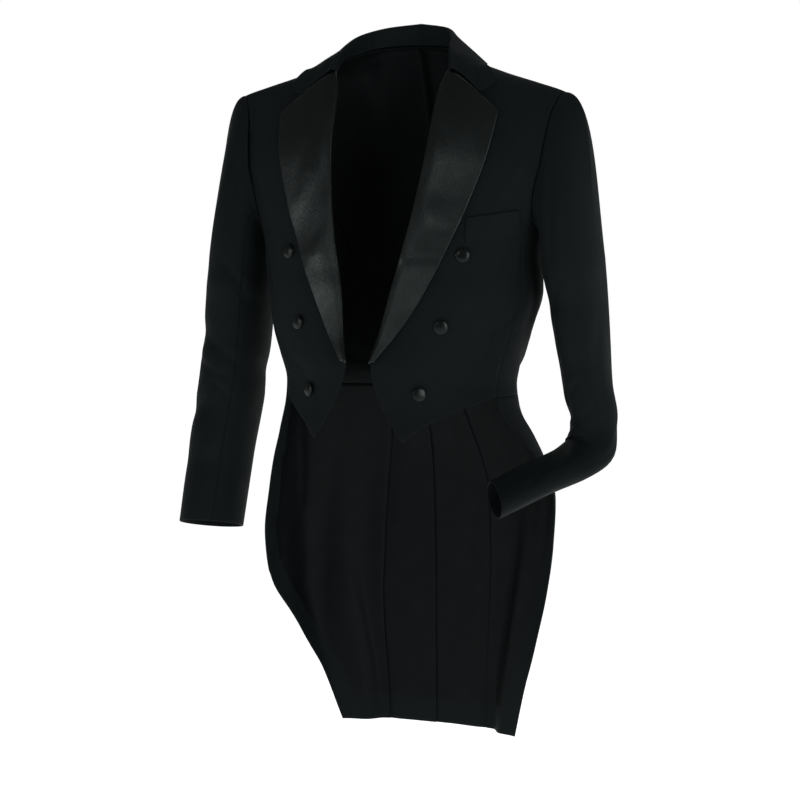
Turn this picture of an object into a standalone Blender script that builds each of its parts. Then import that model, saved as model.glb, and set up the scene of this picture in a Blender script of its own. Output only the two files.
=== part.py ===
"""White tie tailcoat as worn, with one sleeve straight and one bent. Metres, +Z up.

The wearer would face -Y, so the wearer's left is +X. The origin is the middle of the neck base, at the height
of the points where the shoulder seams meet the collar. Tables are in centimetres and degrees, as a cutter
would note them down, and CM turns them to metres.

The body of the coat is one skin, read by two coordinates. Turn goes round it: 0 is centre front, 90 the side,
180 centre back. Level is the height in centimetres up to the chest line, and above that it runs on over the
shoulder and ends with 0 on the shoulder seam. Each panel is the patch of that skin between its four edges.
"""
import math

import bmesh
import bpy
import numpy as np
from mathutils import Matrix, Vector

CM = 0.01
WALL = 0.20            # cloth with its canvas or lining, in centimetres
SEAM = 0.018           # what each panel gives up along a shared seam
CHEST = -27.0          # level where the rings end and the shoulder yoke begins
SIDE_Y = 1.0           # the side line lies a little behind the neck
WAIST = -45.9          # waist seam
HEM = -95.6            # tail hem
SLEEVE_GAP = 0.08      # how far the sleeve stands off the armhole's edge
SIDE_SEAM = 72.0
SHOULDER_NECK = 8.5    # distance from the centre where the shoulder seam starts
BACK_POINT = -17.6     # level where the back seam meets the armhole
VENT_TURN = 0.5        # how far each edge of the centre vent has swung open at the hem

# rows and columns of the panels: edges that meet in a seam share them
BODY_ROWS = 12
TAIL_ROWS = 17
ARMHOLE_FRONT_ROWS = 10
ARMHOLE_BACK_ROWS = 5
SIDE_COLUMNS = 10
SHOULDER_COLUMNS = 8
NECK_COLUMNS = 2
SLEEVE_HEAD_ROWS = 6
SLEEVE_ROWS = 13
BUTTON_RADIUS = 1.0
BUTTON_HEIGHT = 0.42
BUTTON_GAP = 0.05
BACK_BUTTON_GAP = 0.14     # the hollow of the waist carries these a little further out

# level, half width on the wearer's left and right, depth in front and behind, squareness in front and behind
RINGS = [
    (0.0, 25.2, 25.2, 10.1, 11.0, 2.3, 2.3),
    (-10.0, 24.8, 24.8, 10.1, 11.0, 2.3, 2.3),
    (-16.9, 24.2, 24.2, 10.1, 11.0, 2.3, 2.3),
    (-21.2, 22.3, 22.3, 10.1, 11.0, 2.3, 2.3),
    (-24.5, 20.8, 20.8, 10.1, 11.0, 2.3, 2.3),
    (-27.0, 20.2, 20.2, 10.1, 11.0, 2.3, 2.3),
    (-31.4, 20.4, 19.9, 10.9, 10.6, 2.2, 2.3),
    (-37.5, 18.6, 19.1, 12.3, 9.6, 1.95, 2.3),
    (-41.0, 17.5, 18.1, 13.4, 8.9, 1.8, 2.3),
    (-44.5, 16.7, 17.2, 14.0, 8.5, 1.7, 2.3),
    (-47.5, 17.0, 17.5, 14.6, 9.2, 1.65, 2.35),
    (-52.0, 19.0, 18.6, 15.6, 11.0, 1.65, 2.4),
    (-56.0, 20.8, 19.6, 15.0, 12.2, 1.8, 2.5),
    (-60.5, 21.8, 20.4, 13.5, 12.9, 2.0, 2.6),
    (-67.5, 21.2, 21.3, 12.0, 13.4, 2.2, 2.6),
    (-74.6, 19.9, 21.2, 11.5, 13.6, 2.3, 2.6),
    (-81.7, 18.2, 19.7, 11.0, 13.6, 2.3, 2.6),
    (-88.0, 16.9, 17.6, 11.0, 13.6, 2.3, 2.6),
    (-96.0, 15.8, 15.7, 11.0, 13.6, 2.3, 2.6),
]

# distance from the centre, height and depth of the shoulder seam, which runs on round the back of the neck
SHOULDER = [
    (0.0, 1.7, 6.5),
    (3.0, 1.6, 6.2),
    (6.0, 1.2, 4.8),
    (7.6, 0.3, 1.6),
    (8.6, -0.1, 0.0),
    (12.0, -0.9, 0.0),
    (16.0, -2.2, 0.2),
    (20.5, -3.5, 0.4),
    (24.5, -4.8, 0.5),
    (26.3, -6.0, 0.5),
]

# the wearer's right shoulder is carried a little lower, from near the neck to the shoulder's end
SHOULDER_DROP = 0.4
DROP_START = 7.0
DROP_FULL = 14.0

# turn over the shoulder, share of the chest's depth kept in front and behind
YOKE = [
    (0.0, 1.0, 1.0),
    (15.0, 0.88, 1.04),
    (26.0, 0.77, 1.05),
    (34.0, 0.69, 1.02),
    (45.0, 0.555, 0.91),
    (54.0, 0.44, 0.79),
    (71.0, 0.22, 0.52),
    (90.0, 0.0, 0.0),
]

# level, turn of the armhole's front edge and of its back edge
ARMHOLE = [
    (0.0, 73.5, 106.5),
    (-6.0, 67.5, 112.0),
    (-12.0, 64.0, 115.0),
    (-17.6, 63.5, 115.0),
    (-21.0, 67.5, 110.5),
    (-23.4, 76.0, 102.5),
    (-24.6, 90.0, 90.0),
]

# distance from the centre and height of the roll line and the cutaway edge below it
FRONT_EDGE = [
    (8.6, -0.1),
    (8.6, -1.9),
    (7.8, -5.3),
    (7.4, -12.0),
    (6.25, -20.3),
    (3.9, -31.4),
    (2.6, -38.0),
    (1.8, -41.0),
    (2.1, -43.0),
    (3.3, -46.0),
    (4.8, -48.6),
    (6.7, -51.4),
]

# distance from the centre and height of the front's lower edge, from its point to the side seam
FRONT_HEM = [
    (6.7, -51.4),
    (8.75, -49.5),
    (12.1, -47.5),
    (14.3, -46.5),
    (15.7, -45.9),
]

# distance from the centre and height of the lapel's outer edge below its tip
LAPEL_EDGE = [
    (16.3, -7.5),
    (15.7, -12.0),
    (13.3, -20.0),
    (10.4, -27.0),
    (7.6, -33.0),
    (5.0, -37.2),
    (3.0, -40.0),
    (2.4, -40.8),
]

# share of the way from the lapel's roll line to its edge, then for the outer and the inner face:
# how far it lies past the roll line towards the centre, and how far off the forepart
LAPEL_PROFILE = [
    (0.0, 0.22, 0.04, 0.04, 0.04),
    (0.0, 0.24, 0.40, 0.04, 0.28),
    (0.18, 0.0, 0.64, 0.0, 0.44),
    (0.45, 0.0, 0.60, 0.0, 0.40),
    (0.7, 0.0, 0.55, 0.0, 0.35),
    (1.0, 0.0, 0.52, 0.0, 0.32),
]

# level and turn of the seam between the side body and the back, and on down beside the tail's middle
BACK_SEAM = [
    (-17.6, 115.0),
    (-20.5, 128.0),
    (-25.0, 142.0),
    (-31.0, 152.0),
    (-38.0, 160.0),
    (-45.9, 165.0),
    (-60.0, 164.0),
    (-95.6, 158.0),
]

# level, turn of the skirt's front edge on the wearer's left and right
SKIRT_EDGE = [
    (-45.9, 72.0, 72.0),
    (-49.0, 76.0, 75.0),
    (-52.0, 82.0, 78.0),
    (-55.0, 91.0, 80.5),
    (-60.0, 101.0, 83.0),
    (-67.5, 109.0, 85.5),
    (-74.0, 113.0, 91.0),
    (-79.0, 115.5, 101.0),
    (-84.0, 118.5, 111.0),
    (-88.0, 122.0, 119.0),
    (-95.6, 127.0, 127.0),
]

# side, turn, width in degrees and depth in centimetres of the soft flutes in the tails
FLUTES = [
    (1, 118.0, 9.0, 0.7),
    (1, 140.0, 7.0, -0.8),
    (1, 155.0, 6.0, 0.6),
    (-1, 104.0, 8.0, -0.5),
    (-1, 124.0, 9.0, 0.8),
    (-1, 142.0, 7.0, -0.7),
    (-1, 156.0, 6.0, 0.5),
]
FLUTE_TOP = -50.0
FLUTE_FULL = -78.0

# the armhole as the sleeve meets it: depth and height of its middle, half its width and half its height
ARMHOLE_Y = 1.2
ARMHOLE_Z = -14.7
ARMHOLE_HALF_WIDTH = 5.0
ARMHOLE_HALF_HEIGHT = 9.9

# the sleeve's head leaves the armhole outwards for HEAD_REACH, further by HEAD_CROWN over the shoulder
HEAD_REACH = 1.9
HEAD_CROWN = 0.7
HEAD_LEAN = 0.13       # how far the cloth between head and biceps leans in, for each centimetre of height
ELBOW_TURN = 0.75      # how far the bent sleeve's flat side turns to the front below the elbow

# across, depth, height of the sleeve's middle line, half width sideways and fore and aft
SLEEVE_RIGHT = [
    (-25.0, 1.0, -27.6, 4.1, 6.6),
    (-25.9, 1.1, -37.0, 4.3, 6.7),
    (-26.7, 0.8, -45.0, 4.3, 6.5),
    (-27.7, -1.0, -55.5, 4.1, 6.3),
    (-28.2, -3.3, -65.9, 4.0, 6.1),
]
SLEEVE_LEFT = [
    (25.2, 1.3, -27.6, 3.9, 6.4),
    (26.1, 1.9, -36.0, 3.4, 5.8),
    (27.2, 2.0, -44.5, 3.1, 4.8),
    (28.0, 1.9, -49.0, 3.2, 3.9),
    (28.0, 1.0, -52.3, 3.7, 2.9),
    (26.4, -1.0, -54.3, 4.3, 2.4),
    (22.8, -4.3, -56.2, 4.5, 2.25),
    (17.5, -7.6, -59.2, 4.6, 2.1),
]

CREASE_LENGTH = 0.05   # share of the sleeve's length that half a crease takes up
CREASE_SCALE = 5.0     # half width of sleeve that the depths of its creases are given for
# share of the sleeve's length below the biceps, turn round it and depth in centimetres of each soft crease
CREASES_RIGHT = [
    (0.10, 110.0, 0.35),
    (0.30, 70.0, -0.3),
    (0.42, 200.0, -0.35),
    (0.58, 60.0, -0.3),
    (0.78, 100.0, -0.25),
]
CREASES_LEFT = [
    (0.12, 110.0, -0.35),
    (0.34, 80.0, -0.35),
    (0.52, 150.0, -0.45),
    (0.62, 40.0, 0.30),
    (0.84, 60.0, -0.25),
]

# across, depth, height: the collar's fold and its neck seam, from the front to the centre back
COLLAR_FOLD = [(8.75, -3.2, -1.6), (7.9, -1.5, 1.0), (6.9, 1.6, 2.9), (4.4, 5.1, 4.1), (0.0, 6.9, 4.7)]
COLLAR_SEAM = [
    (8.25, -2.4, -1.7),
    (8.2, -0.1, 0.0),
    (7.3, 1.7, 0.45),
    (5.7, 4.7, 1.35),
    (2.9, 6.05, 1.75),
    (0.0, 6.35, 1.85),
]
# distance from the centre and height of the fall's outer edge, and whether it is behind the shoulder seam
COLLAR_EDGE = [
    (15.3, -3.3, False),
    (13.4, -1.6, False),
    (11.0, -1.4, True),
    (6.5, -0.7, True),
    (0.0, 0.2, True),
]
# distance from the centre and height of the fall's front end: along the gorge seam to the notch, its corner
COLLAR_END = [(8.8, -1.65), (11.0, -2.9), (13.4, -4.75), (15.4, -3.3)]
COLLAR_LIFT = 0.68

# distance from the centre, upper and lower height of the breast welt's inner and outer end
WELT = [(13.2, -21.4, -24.7), (19.5, -20.4, -23.9)]
WELT_GAP = 0.07

BUTTON_ROWS = [(13.0, -26.4), (10.6, -36.0), (8.1, -45.0)]

WOOL = ("worsted wool", (0.012, 0.014, 0.014, 1.0), 0.85)
SATIN = ("silk satin", (0.010, 0.011, 0.011, 1.0), 0.35)


def smooth(table, x, column=1):
    """Read one column of a table at x, with a smooth curve through its rows that never overshoots them."""
    rows = sorted(table)
    xs = np.array([row[0] for row in rows])
    ys = np.array([row[column] for row in rows])
    x = min(max(x, xs[0]), xs[-1])
    slopes = np.diff(ys) / np.diff(xs)
    tangents = np.zeros(len(xs))
    tangents[0] = slopes[0]
    tangents[-1] = slopes[-1]
    for i in range(1, len(xs) - 1):
        if slopes[i - 1] * slopes[i] > 0:
            tangents[i] = 2 * slopes[i - 1] * slopes[i] / (slopes[i - 1] + slopes[i])
    i = min(int(np.searchsorted(xs, x, side="right")) - 1, len(xs) - 2)
    step = xs[i + 1] - xs[i]
    f = (x - xs[i]) / step
    return float(
        (1 + 2 * f) * (1 - f) ** 2 * ys[i]
        + f * (1 - f) ** 2 * step * tangents[i]
        + f * f * (3 - 2 * f) * ys[i + 1]
        + f * f * (f - 1) * step * tangents[i + 1]
    )


def along(points, share):
    """The point at a share, 0 to 1, of the length of a smooth curve through the points."""
    points = np.array(points, dtype=float)
    lengths = np.concatenate([[0], np.cumsum(np.linalg.norm(np.diff(points, axis=0), axis=1))])
    tables = [list(zip(lengths / lengths[-1], points[:, k])) for k in range(points.shape[1])]
    return np.array([smooth(table, share) for table in tables])


def ramp(x, start, end):
    """0 at start, 1 at end, with soft ends."""
    f = min(max((x - start) / (end - start), 0.0), 1.0)
    return f * f * (3 - 2 * f)


def flute(turn, level, side):
    """How far the tail's soft flutes stand out from the plain skin."""
    depth = 0.0
    for flute_side, middle, width, height in FLUTES:
        if flute_side == side:
            depth += height * math.exp(-(((turn - middle) / width) ** 2))
    return depth * ramp(level, FLUTE_TOP, FLUTE_FULL)


def shoulder_height(x, side):
    """Height of the shoulder seam at a distance from the centre."""
    drop = SHOULDER_DROP * ramp(x, DROP_START, DROP_FULL) if side < 0 else 0.0
    return smooth(SHOULDER, x, 1) - drop


def skin(turn, level, side):
    """A point of the coat's outer face, in centimetres."""
    width = smooth(RINGS, level, 1 if side > 0 else 2)
    behind = turn > 90.0
    depth = smooth(RINGS, level, 4 if behind else 3)
    square = smooth(RINGS, level, 6 if behind else 5)
    angle = math.radians(180.0 - turn if behind else turn)
    x = width * max(math.sin(angle), 0.0) ** (2 / square)
    reach = max(math.cos(angle), 0.0) ** (2 / square)
    y = SIDE_Y + (depth - SIDE_Y) * reach if behind else SIDE_Y - (depth + SIDE_Y) * reach
    z = level
    if level > CHEST:
        over = 90.0 * (level - CHEST) / -CHEST
        keep = smooth(YOKE, over, 2 if behind else 1)
        y = smooth(SHOULDER, x, 2) * max(1 - keep, 0.0) ** 1.5 + y * keep
        z = CHEST + (shoulder_height(x, side) - CHEST) * math.sin(math.radians(over))
    if level < FLUTE_TOP:
        out = flute(turn, level, side)
        away = np.array([x, y - SIDE_Y]) / max(math.hypot(x, y - SIDE_Y), 0.1)
        x += out * away[0]
        y += out * away[1]
    return np.array([side * x, y, z])


def place(x, z, behind=False):
    """Turn and level of the skin point at a distance x from the centre and a height z."""
    level = z
    if z > CHEST:
        rise = min((z - CHEST) / (smooth(SHOULDER, x, 1) - CHEST), 1.0)
        level = CHEST - CHEST * math.degrees(math.asin(rise)) / 90.0
    square = smooth(RINGS, level, 6 if behind else 5)
    width = smooth(RINGS, level, 1)
    turn = math.degrees(math.asin(min(x / width, 1.0) ** (square / 2)))
    return np.array([180.0 - turn if behind else turn, level])


def normal(turn, level, side):
    """The skin's outward direction. On the shoulder seam it is halfway between front and back, for both."""
    if level > -0.01 and abs(skin(turn, level, side)[0]) > SHOULDER_NECK:
        out = normal(turn, -0.02, side) + normal(180.0 - turn, -0.02, side)
        return out / np.linalg.norm(out)
    step = 0.6
    inner, outer = max(turn - step, 0.0), min(turn + step, 180.0)
    level = min(level, -0.02 - step)
    around = skin(outer, level, side) - skin(inner, level, side)
    up = skin(turn, level + step, side) - skin(turn, level - step, side)
    out = side * np.cross(around, up)
    return out / max(np.linalg.norm(out), 1e-9)


def smooth_normals(grid):
    """Outward directions of a grid of points, from its own rows and columns."""
    across = np.gradient(grid, axis=0)
    down = np.gradient(grid, axis=1)
    out = np.cross(across, down)
    return out / np.maximum(np.linalg.norm(out, axis=2, keepdims=True), 1e-9)


def finish(name, bm, cloth):
    """Make a named object of a closed mesh in centimetres, with its own material."""
    bmesh.ops.recalc_face_normals(bm, faces=bm.faces)
    bmesh.ops.scale(bm, vec=(CM, CM, CM), verts=bm.verts)
    mesh = bpy.data.meshes.new(name)
    bm.to_mesh(mesh)
    bm.free()
    mesh.shade_smooth()
    mesh.set_sharp_from_angle(angle=math.radians(50))
    material = bpy.data.materials.new(name + " " + cloth[0])
    material.use_nodes = True
    shader = material.node_tree.nodes["Principled BSDF"]
    shader.inputs["Base Color"].default_value = cloth[1]
    shader.inputs["Roughness"].default_value = cloth[2]
    shader.inputs["Metallic"].default_value = 0.0
    mesh.materials.append(material)
    thing = bpy.data.objects.new(name, mesh)
    bpy.context.scene.collection.objects.link(thing)
    return thing


def trim(grid, edges):
    """Pull the named edges of a grid in by the seam gap: low and high ends of the columns and of the rows."""
    grid = grid.copy()
    ends = {"first": (0, 0, 1), "last": (0, -1, -2), "bottom": (1, 0, 1), "top": (1, -1, -2)}
    for edge in edges:
        axis, end, inside = ends[edge]
        here = np.take(grid, end, axis=axis)
        there = np.take(grid, inside, axis=axis)
        step = there - here
        step *= SEAM / np.maximum(np.linalg.norm(step, axis=1, keepdims=True), 1e-9)
        if axis == 0:
            grid[end] = here + step
        else:
            grid[:, end] = here + step
    return grid


def wall(name, outer, inner, cloth):
    """A closed wall between two grids of points."""
    columns, rows = outer.shape[:2]
    bm = bmesh.new()
    faces = []
    outside = [[bm.verts.new(outer[i, j]) for j in range(rows)] for i in range(columns)]
    inside = [[bm.verts.new(inner[i, j]) for j in range(rows)] for i in range(columns)]
    for i in range(columns - 1):
        for j in range(rows - 1):
            faces.append((outside[i][j], outside[i + 1][j], outside[i + 1][j + 1], outside[i][j + 1]))
            faces.append((inside[i][j], inside[i][j + 1], inside[i + 1][j + 1], inside[i + 1][j]))
    rim = [(i, 0) for i in range(columns)] + [(columns - 1, j) for j in range(1, rows)]
    rim += [(i, rows - 1) for i in range(columns - 2, -1, -1)] + [(0, j) for j in range(rows - 2, 0, -1)]
    for (i, j), (k, m) in zip(rim, rim[1:] + rim[:1]):
        faces.append((outside[i][j], outside[k][m], inside[k][m], inside[i][j]))
    for corners in faces:
        bm.faces.new(corners)
    bmesh.ops.triangulate(bm, faces=bm.faces)
    return finish(name, bm, cloth)


def patch(first, last, bottom, top):
    """Turn and level of a grid of points between four edges: its end columns, bottom row and top row."""
    columns, rows = len(bottom) - 1, len(first) - 1
    grid = np.zeros((columns + 1, rows + 1, 2))
    for i in range(columns + 1):
        u = i / columns
        for j in range(rows + 1):
            v = j / rows
            sides = (1 - u) * first[j] + u * last[j]
            ends = (1 - v) * bottom[i] + v * top[i]
            plane = (1 - u) * (1 - v) * first[0] + u * (1 - v) * last[0]
            plane += (1 - u) * v * first[-1] + u * v * last[-1]
            grid[i, j] = sides + ends - plane
    return grid


def panel(name, places, side, edges, cloth=WOOL, lift=0.0):
    """A panel of the coat's skin over a grid of turns and levels, with its seam edges trimmed."""
    outer = np.zeros(places.shape[:2] + (3,))
    out = np.zeros_like(outer)
    for index in np.ndindex(places.shape[:2]):
        turn, level = places[index]
        outer[index] = skin(turn, level, side)
        out[index] = normal(turn, level, side)
    outer = trim(outer + lift * out, edges)
    return wall(name, outer, outer - WALL * out, cloth)


def shares(count):
    """Even steps from 0 to 1."""
    return [k / count for k in range(count + 1)]


def drawn(rows, count):
    """An edge that a table gives by distance and height, as turns and levels."""
    return [place(*along(rows, share)) for share in shares(count)]


def by_level(table, start, end, count, column=1):
    """An edge that a table gives as turn for each level, from one level to another."""
    levels = [start + (end - start) * share for share in shares(count)]
    return [np.array([smooth(table, level, column), level]) for level in levels]


def straight(start, end, count):
    """An edge straight across turn and level."""
    start, end = np.array(start, dtype=float), np.array(end, dtype=float)
    return [start + (end - start) * share for share in shares(count)]


def armhole_level(turn):
    """Level of the armhole's lower front edge at a turn between its foremost point and the side."""
    return smooth([(row[1], row[0]) for row in ARMHOLE[3:]], turn)


def armhole_front():
    """The forepart's share of the armhole, from the side seam up to the shoulder."""
    return by_level(ARMHOLE, armhole_level(SIDE_SEAM), 0.0, ARMHOLE_FRONT_ROWS)


def armhole_under():
    """The side body's share of the armhole, from the side seam under the arm to the back seam."""
    half = SIDE_COLUMNS // 2
    turns = [SIDE_SEAM + (90.0 - SIDE_SEAM) * share for share in shares(half)]
    before = [np.array([turn, armhole_level(turn)]) for turn in turns]
    return before + by_level(ARMHOLE, ARMHOLE[-1][0], BACK_POINT, SIDE_COLUMNS - half, 2)[1:]


def armhole_back():
    """The back's share of the armhole, from the back seam up to the shoulder."""
    return by_level(ARMHOLE, BACK_POINT, 0.0, ARMHOLE_BACK_ROWS, 2)


def shoulder_seam():
    """The shoulder seam from the neck to the armhole, as the forepart has it."""
    return straight(place(SHOULDER_NECK, 0.0), (ARMHOLE[0][1], 0.0), SHOULDER_COLUMNS)


def front(side, name):
    """The forepart: roll line and cutaway in front, shoulder on top, armhole and side seam behind."""
    side_edge = straight((SIDE_SEAM, WAIST), (SIDE_SEAM, armhole_level(SIDE_SEAM)), BODY_ROWS)
    front_edge = drawn(FRONT_EDGE[::-1], BODY_ROWS + ARMHOLE_FRONT_ROWS)
    hem = drawn(FRONT_HEM, SHOULDER_COLUMNS)
    front_edge[-1] = shoulder_seam()[0]
    hem[-1] = side_edge[0]
    places = patch(front_edge, side_edge + armhole_front()[1:], hem, shoulder_seam())
    panel(name, places, side, ["last", "top"])


def side_body(side, name):
    """The side body: side seam in front, armhole on top, curved back seam behind, waist seam below."""
    first = straight((SIDE_SEAM, WAIST), (SIDE_SEAM, armhole_level(SIDE_SEAM)), BODY_ROWS)
    last = by_level(BACK_SEAM, WAIST, BACK_POINT, BODY_ROWS)
    waist = straight(first[0], last[0], SIDE_COLUMNS)
    panel(name, patch(first, last, waist, armhole_under()), side, ["first", "last", "bottom", "top"])


def back(side, name):
    """The centre back in one with the middle of the tail, open at the vent below the waist."""
    outer_edge = by_level(BACK_SEAM, HEM, WAIST, TAIL_ROWS)
    outer_edge += by_level(BACK_SEAM, WAIST, BACK_POINT, BODY_ROWS)[1:] + armhole_back()[1:]
    centre = straight((180.0, HEM), (180.0, 0.0), len(outer_edge) - 1)
    for spot in centre:
        spot[0] -= VENT_TURN * ramp(spot[1], WAIST, HEM)
    shoulder = [np.array([180.0 - turn, level]) for turn, level in reversed(shoulder_seam())]
    neck = straight(shoulder[-1], (180.0, 0.0), NECK_COLUMNS)
    top = shoulder + neck[1:]
    hem = straight(outer_edge[0], centre[0], len(top) - 1)
    panel(name, patch(outer_edge, centre, hem, top), side, ["first", "last", "top"])


def skirt(side, name):
    """The tail's side skirt, from the waist seam down its swept front edge to the hem."""
    first = by_level(SKIRT_EDGE, HEM, WAIST, TAIL_ROWS, 1 if side > 0 else 2)
    last = by_level(BACK_SEAM, HEM, WAIST, TAIL_ROWS)
    hem = straight(first[0], last[0], SIDE_COLUMNS)
    waist = straight(first[-1], last[-1], SIDE_COLUMNS)
    panel(name, patch(first, last, hem, waist), side, ["last", "top"])


def lapel(side, name):
    """The lapel: it rolls out over the front edge and lies a little clear of the forepart."""
    rows = 18
    outer = np.zeros((len(LAPEL_PROFILE), rows + 1, 3))
    inner = np.zeros_like(outer)
    roll = drawn(FRONT_EDGE[7:0:-1], rows)
    edge = drawn(LAPEL_EDGE[::-1], rows)
    for j in range(rows + 1):
        start, end = roll[j], edge[j]
        for i, (across, outer_past, outer_lift, inner_past, inner_lift) in enumerate(LAPEL_PROFILE):
            turn, level = start + (end - start) * across
            out = normal(turn, level, side)
            outer[i, j] = skin(turn, level, side) + outer_lift * out
            inner[i, j] = skin(turn, level, side) + inner_lift * out
            outer[i, j, 0] -= side * outer_past
            inner[i, j, 0] -= side * inner_past
    wall(name, outer, inner, SATIN)


def off_skin(x, z, behind, side):
    """A point of the collar's fall, lifted off the skin of one side, with x counted outwards."""
    turn, level = place(x, z, behind)
    return (skin(turn, level, side) + COLLAR_LIFT * normal(turn, level, side)) * np.array([side, 1, 1])


def collar(name):
    """The collar: a stand up from the neck seam, folded over, with a fall that lies on the shoulders."""
    columns = 24
    # share of the way up the stand or down the fall, how far out from the stand, how far up
    stand = [(0.0, 0.0, 0.0), (0.45, 0.0, 0.0), (0.85, 0.0, 0.0)]
    fall = [
        (0.0, 0.12, 0.14),
        (0.0, 0.42, 0.14),
        (0.13, 0.54, 0.1),
        (0.4, 0.48, 0.2),
        (0.68, 0.3, 0.18),
        (1.0, 0.0, 0.0),
    ]
    fall_edges = {side: [off_skin(x, z, behind, side) for x, z, behind in COLLAR_EDGE] for side in (1, -1)}
    end_lines = {side: [off_skin(x, z, False, side) for x, z in COLLAR_END] for side in (1, -1)}
    grid = np.zeros((columns + 1, len(stand) + len(fall), 3))
    for i in range(columns + 1):
        place_on = 1 - 2 * i / columns
        side = 1 if place_on >= 0 else -1
        share = 1 - abs(place_on)
        fall_edge = fall_edges[side]
        seam, fold, edge = (along(rows, share) for rows in (COLLAR_SEAM, COLLAR_FOLD, fall_edge))
        away = np.array([edge[0] - fold[0], edge[1] - fold[1], 0.0])
        away /= np.linalg.norm(away)
        up = np.array([0.0, 0.0, 1.0])
        points = [seam + (fold - seam) * f + away * out + up * high for f, out, high in stand]
        near_end = 1 - ramp(share, 0.0, 0.2)
        for f, out, high in fall:
            swell = 1 - near_end * ramp(f, 0.0, 0.13)
            points.append(fold + (edge - fold) * f + (away * out + up * high) * swell)
        for j, (f, out, high) in enumerate(fall[2:], start=len(stand) + 2):
            shift = along(end_lines[side], f) - (along(COLLAR_FOLD, 0) * (1 - f) + fall_edge[0] * f)
            points[j] = points[j] + near_end * shift
        for j, point in enumerate(points):
            grid[i, j] = point * np.array([side, 1, 1])
    out = smooth_normals(grid)
    probe = grid[columns // 2, 6] - grid[columns // 2, 1]
    if np.dot(out[columns // 2, 6], probe) < 0:
        out = -out
    wall(name, grid, grid - WALL * out, WOOL)


def sleeve_rings(rows, side):
    """Middle points, sideways and forward half axes of the rings of a sleeve below the biceps."""
    rings = []
    middle = [row[:3] for row in rows]
    lengths = np.concatenate([[0], np.cumsum(np.linalg.norm(np.diff(np.array(middle), axis=0), axis=1))])
    at = lengths / lengths[-1]
    half_out = list(zip(at, [row[3] for row in rows]))
    half_fore = list(zip(at, [row[4] for row in rows]))
    for share in shares(SLEEVE_ROWS):
        centre = along(middle, share)
        ahead = along(middle, min(share + 0.02, 1.0)) - along(middle, max(share - 0.02, 0.0))
        ahead /= np.linalg.norm(ahead)
        turned = ELBOW_TURN * ramp(share, 0.45, 0.85) if side > 0 else 0.0
        forward = np.cross(ahead, (side, -turned, 0.0)) * side
        forward /= np.linalg.norm(forward)
        outward = np.cross(forward, ahead) * side
        rings.append((share, centre, outward * smooth(half_out, share), forward * smooth(half_fore, share)))
    return rings


def around_armhole(point):
    """Angle of a point of the armhole: 0 on the shoulder, 90 in front, 180 under the arm, 270 behind."""
    forward = (ARMHOLE_Y - point[1]) / ARMHOLE_HALF_WIDTH
    up = (point[2] - ARMHOLE_Z) / ARMHOLE_HALF_HEIGHT
    return math.degrees(math.atan2(forward, up)) % 360.0


def dent(share, around, creases):
    """How far the sleeve's creases move its cloth, as a share of its half width."""
    moved = 0.0
    for at, crease_turn, depth in creases:
        facing = max(math.cos(math.radians(around - crease_turn)), 0.0)
        moved += depth * math.exp(-(((share - at) / CREASE_LENGTH) ** 2)) * facing ** 1.5
    return moved / CREASE_SCALE


def sleeve(side, rows, creases, word):
    """A two-piece sleeve: set into the armhole, rounded over its head, then rings down to the cuff."""
    rings = sleeve_rings(rows, side)
    top_edge = armhole_back() + armhole_front()[-2::-1]
    loop = top_edge + armhole_under()[1:-1]
    grid = np.zeros((len(loop), SLEEVE_HEAD_ROWS + len(rings), 3))
    for i, (turn, level) in enumerate(loop):
        seam = skin(turn, level, side)
        around = around_armhole(seam)
        c, s = math.cos(math.radians(around)), math.sin(math.radians(around))
        for k, (share, centre, outward, forward) in enumerate(rings, start=SLEEVE_HEAD_ROWS):
            grid[i, k] = centre + (1 + dent(share, around, creases)) * (outward * c + forward * s)
        first = grid[i, SLEEVE_HEAD_ROWS]
        leave = np.array([side * (1.0 + 0.25 * c), -0.45 * s, -0.12])
        handle = seam + leave * (HEAD_REACH + HEAD_CROWN * c)
        rise = (seam[2] - first[2]) * 0.5 + 0.3
        into = first + np.array([-side * HEAD_LEAN * rise, 0.0, rise])
        start = seam + leave * SLEEVE_GAP
        for k, f in enumerate(shares(SLEEVE_HEAD_ROWS)[:-1]):
            grid[i, k] = (1 - f) ** 3 * start + 3 * f * (1 - f) ** 2 * handle
            grid[i, k] += 3 * f * f * (1 - f) * into + f ** 3 * first
    around_it = (np.roll(grid, -1, axis=0) - np.roll(grid, 1, axis=0)) / 2
    out = side * np.cross(around_it, np.gradient(grid, axis=1))
    out /= np.linalg.norm(out, axis=2, keepdims=True)
    split = len(top_edge)
    under = list(range(split - 1, len(loop))) + [0]
    for name, picked in (("topsleeve_", list(range(split))), ("undersleeve_", under)):
        outer = trim(grid[picked], ["first", "last"])
        wall(name + word, outer, outer - WALL * out[picked], WOOL)


def welt(name):
    """The breast pocket's welt, a strip laid on the left forepart, its inner end tucked under the lapel."""
    columns, rows = 9, 2
    places = np.zeros((columns + 1, rows + 1, 2))
    for i, share in enumerate(shares(columns)):
        x, high, low = (start + (end - start) * share for start, end in zip(*WELT))
        for j, up in enumerate(shares(rows)):
            places[i, j] = place(x, low + (high - low) * up)
    panel(name, places, 1, [], WOOL, WALL + WELT_GAP)


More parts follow.
